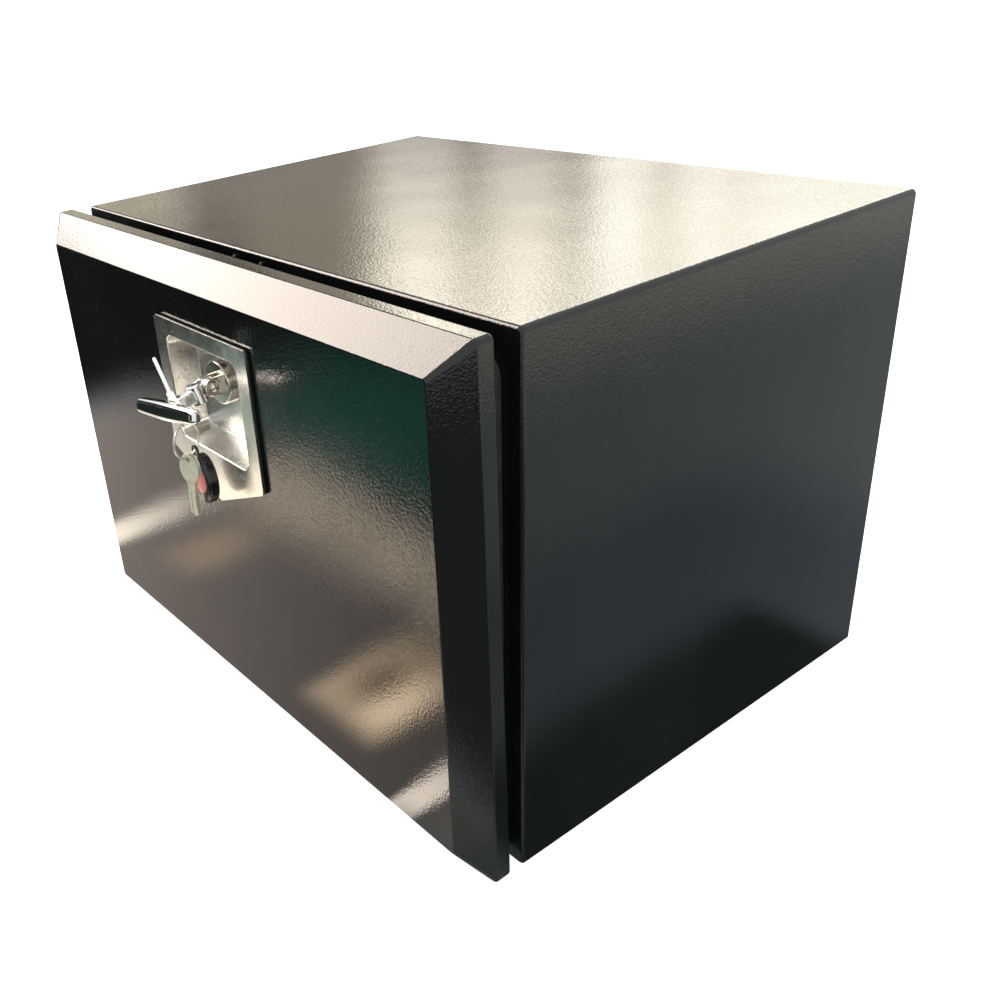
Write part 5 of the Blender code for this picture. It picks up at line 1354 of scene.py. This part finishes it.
# Cable tie: a strap round the shank, with a toothed tail that stands above its head
tie = {"reach": 0.0338, "width": 0.0036, "thickness": 0.0011, "lowHalf": 0.0032, "fillet": 0.0022,
       "headWidth": 0.0062, "headLength": 0.0048, "headHeight": 0.0062, "tail": 0.032,
       "window": (0.0017, 0.0013, 0.0012), "tip": (0.0011, 0.0015), "pitch": 0.0011,
       "tooth": 0.0003, "toothHalf": 0.0011}
ring = {"hang": 0.0166, "slack": 0.00135, "radius": 0.0155, "wire": 0.0009, "yaw": 20, "turns": 2,
        "halfWide": 0.92, "halfThick": 0.46, "spread": 0.98, "corner": 0.75}


def grown(corners, distance):
    # Moves an outline outwards, for the thickness of the strap
    moved = []
    middle = sum((Vector(corner) for corner in corners), Vector((0, 0))) / len(corners)
    for index, corner in enumerate(corners):
        here = Vector(corner)
        before = (Vector(corners[index - 1]) - here).normalized()
        after = (Vector(corners[(index + 1) % len(corners)]) - here).normalized()
        outward = -(before + after).normalized()
        if outward.dot(here - middle) < 0:
            outward = -outward
        moved.append(tuple(here + outward * (distance / sin(before.angle(after) / 2))))
    return moved


def buildTie():
    wide, tall, thick = handle["shankHalfWidth"], handle["shankHalfHeight"], tie["thickness"]
    side, high, low = wide + gap, tall + gap, -(ring["hang"] + ring["wire"] + ring["slack"])
    corners = [(side, high), (-side, high), (-side, -tall), (-tie["lowHalf"], low), (tie["lowHalf"], low),
               (side, -tall)]
    inner = rounded(corners, tie["fillet"], 6)
    outer = rounded(grown(corners, thick), tie["fillet"] + thick, 6)
    middle, pitch = -tie["reach"], tie["pitch"]
    near, far = middle - tie["width"] / 2, middle + tie["width"] / 2
    strap = plate("strap", [outer, inner], near, far)
    headLow = high + thick / 2
    headTop = headLow + tie["headHeight"]
    a, b = tie["headWidth"] / 2, tie["headLength"] / 2
    head = plate("head", [rounded([(a, middle + b), (-a, middle + b), (-a, middle - b), (a, middle - b)],
                                  0.0009, 4)], headLow, headTop, 'Z', 0.0004)
    a, b, depth = tie["window"]
    window = plate("window", [rectangle(a, middle - b, middle + b, 0.0003, 2)], headTop - depth,
                   headTop + 0.002, 'Z', 0.0)
    carved(head, [window])
    end, foot = headTop + tie["tail"], headTop - 0.004
    point, tip = tie["tip"]
    outline = rounded([(near + gap, foot), (far - gap, foot), (far - gap, end - tip),
                       (middle + point, end), (middle - point, end), (near + gap, end - tip)],
                      [0, 0, 0.0006, 0.0003, 0.0003, 0.0006], 4)
    face = thick / 2 - tie["tooth"]
    tail = plate("tail", [outline], -thick / 2, face, 'X', 0.0002)
    tooth = plate("tooth", [[(0, 0), (pitch * 0.92, 0), (pitch * 0.92, 0.00008), (0, tie["tooth"])]],
                  middle - tie["toothHalf"], middle + tie["toothHalf"], 'Y', 0.0)
    upright = Matrix(((0, 0, 1, 0), (0, 1, 0, 0), (1, 0, 0, 0), (0, 0, 0, 1)))
    tooth.data.transform(Matrix.Translation((face, 0, headTop)) @ upright)
    repeated(tooth, int((tie["tail"] - 0.004) / pitch), (0, 0, pitch), "nylon")
    made = joined("cable_tie_strap", [strap, head, tail, tooth])
    finished(made, "handle", "nylon", handlePose, ["cable_tie"])


buildTie()

# Split ring: flat spring wire wound two turns, hanging plumb in the tie
hangPoint = handlePose @ Vector((0, -tie["reach"], -ring["hang"]))
ringCentre = hangPoint - Vector((0, 0, ring["radius"]))
yaw = radians(ring["yaw"])
ringForward = Vector((sin(yaw), -cos(yaw), 0))


def buildRing():
    # The wire is drawn round Z, then set upright and turned to face the way that it hangs
    steps, wire = 190, ring["wire"]  # the wire steps over by its own width halfway round
    halfWide, halfThick = wire * ring["halfWide"], wire * ring["halfThick"]
    rings = []
    for step in range(steps + 1):
        share = step / steps
        angle = 2 * pi * ring["turns"] * share
        shift = wire * ring["spread"] * max(-0.5, min(0.5, (share - 0.5) * 7))
        small = min(1.0, 0.35 + 18 * min(share, 1 - share))
        section = rectangle(halfWide * small, -halfThick, halfThick, halfThick * ring["corner"] * small,
                            3)
        rings.append([((ring["radius"] + across) * cos(angle), (ring["radius"] + across) * sin(angle),
                       shift + up) for across, up in section])
    made = loft("split_ring_wire", rings, capped=True)
    pose = Matrix.Translation(ringCentre) @ Matrix.Rotation(yaw, 4, 'Z') @ Matrix.Rotation(pi / 2, 4, 'Y')
    finished(made, "ring", "wire", pose, ["key_ring"])


buildRing()
print("tie and ring done")

# Keys: flat keys of nickel-plated brass, with a milled groove and a bitted edge
key = {"thickness": 0.002, "bowHalf": 0.010, "bowHeight": 0.027, "blade": 0.008, "length": 0.058,
       "hole": 0.0026, "holeFromTop": 0.0046, "hang": 0.0005, "toothDepth": 0.0026,
       "teeth": (0.0, 0.30, 0.12, 0.42, 0.20, 0.50, 0.15, 0.34, 0.05), "groove": 0.0007,
       "grooveWidth": 0.0016, "grooveSide": -0.0022, "grooveEnds": (0.0112, 0.0095),
       "recess": 0.00022, "recessSize": (0.0074, 0.0072), "recessDrop": 0.0022}


def buildKeys():
    bowTop = key["holeFromTop"]
    tip = bowTop - key["length"]
    bowMiddle = bowTop - key["bowHeight"] / 2
    bow, blade = key["bowHalf"], key["blade"]
    meet = -atan2(sqrt(bow ** 2 - (blade / 2) ** 2), blade / 2)
    angles = [meet + (pi - 2 * meet) * step / 60 for step in range(61)]
    outline = [(bow * cos(angle), bowMiddle + key["bowHeight"] / 2 * sin(angle)) for angle in angles]
    run = (key["length"] - key["bowHeight"]) / (len(key["teeth"]) + 1)
    outline += [(-blade / 2, tip + run), (-blade / 8, tip)]
    for index, share in enumerate(reversed(key["teeth"])):
        side = blade / 2 - key["toothDepth"] * share
        outline.append((side, tip + run * (index + 0.36)))
        outline.append((side, tip + run * (index + 0.64)))
    thick = key["thickness"] / 2
    ringLow = ringCentre - Vector((0, 0, ring["radius"]))
    drop = key["hole"] - ring["wire"] - key["hang"]
    for name, side in (("key_1", 1), ("key_2", -1)):
        made = plate(name + "_cut", [outline, circle(key["hole"], sides=32)], -thick, thick)
        left, right = key["grooveSide"], key["grooveSide"] + key["grooveWidth"]
        leftEnd, rightEnd = [bowMiddle - drawn for drawn in key["grooveEnds"]]
        groove = [(left, tip - 0.002), (right, tip - 0.002), (right, rightEnd), (left, leftEnd)]
        wide, tall = key["recessSize"]
        turns = [2 * pi * step / 48 for step in range(48)]
        oval = [(wide * cos(turn), bowMiddle - key["recessDrop"] + tall * sin(turn)) for turn in turns]
        cutters = []
        for face in (-1, 1):
            for kind, shape, depth in (("groove", groove, key["groove"]), ("recess", oval, key["recess"])):
                low, high = sorted((face * (thick - depth), face * (thick + 0.001)))
                cutters.append(plate(kind, [shape], low, high, 'Y', 0.0))
        carved(made, cutters)
        shift = ringLow + ringForward * side * (thick + gap) - Vector((0, 0, drop))
        pose = Matrix.Translation(shift) @ Matrix.Rotation(yaw, 4, 'Z')
        finished(made, "keys", "brass", pose, [name], 30)


buildKeys()

# Fob: an oval moulding with a lug for the ring, and a shallow seat for its resin inset
fob = {"halfWidth": 0.015, "halfHeight": 0.022, "thickness": 0.011, "edge": 0.0028,
       "insetHalfWidth": 0.010, "insetHalfHeight": 0.012, "insetDepth": 0.0008, "insetRise": 0.0003,
       "lugHalf": 0.0052, "lugLength": 0.0086, "lugThickness": 0.0020, "lugOffset": 0.0032,
       "lugRoot": 0.7, "lugEdge": 0.0005, "hole": 0.0032, "slack": 0.0007, "ringAngle": 35,
       "lean": 11.7}


def buildFob():
    middle = -(fob["halfHeight"] + fob["lugLength"] - fob["lugHalf"])
    front = fob["lugOffset"] - fob["thickness"] / 2
    back = front + fob["thickness"]
    eye = (ringCentre - ringForward * ring["radius"] * sin(radians(fob["ringAngle"]))
           - Vector((0, 0, ring["radius"] * cos(radians(fob["ringAngle"])) + fob["slack"])))
    pose = Matrix.Translation(eye) @ Matrix.Rotation(radians(-fob["lean"]), 4, 'Y')

    def oval(wide, tall, sides=72):
        return [(wide * cos(2 * pi * step / sides), middle + tall * sin(2 * pi * step / sides))
                for step in range(sides)]

    edge = fob["edge"]
    rings = []
    for depth, side in ((front, 1), (back, -1)):
        course = []
        for step in range(13):
            angle = pi / 2 * step / 12
            inset = edge * (1 - sin(angle))
            course.append(throughY(oval(fob["halfWidth"] - inset, fob["halfHeight"] - inset),
                                   depth + side * edge * (1 - cos(angle))))
        rings += course if side > 0 else course[::-1]
    shape = loft("fob_moulding", rings, capped=True)
    seat = plate("seat", [oval(fob["insetHalfWidth"] + gap, fob["insetHalfHeight"] + gap)], front - 0.002,
                 front + fob["insetDepth"] + gap, 'Y', 0.0)
    carved(shape, [seat])
    lug = [(b, a) for a, b in capsule(middle + fob["halfHeight"] * fob["lugRoot"], 0, fob["lugHalf"], 20)]
    hole = circle(fob["hole"], (0, 0), 32)
    tab = plate("tab", [lug, hole], -fob["lugThickness"] / 2, fob["lugThickness"] / 2, 'Y',
                fob["lugEdge"])
    made = joined("fob_moulding", [shape, tab])
    finished(made, "fob", "abs", pose, ["key_fob"], 32)
    inset = plate("fob_resin_inset", [oval(fob["insetHalfWidth"], fob["insetHalfHeight"])],
                  front - fob["insetRise"], front + fob["insetDepth"])
    finished(inset, "fob", "resin", pose, ["fob_inset"])


buildFob()
print("keys and fob done")
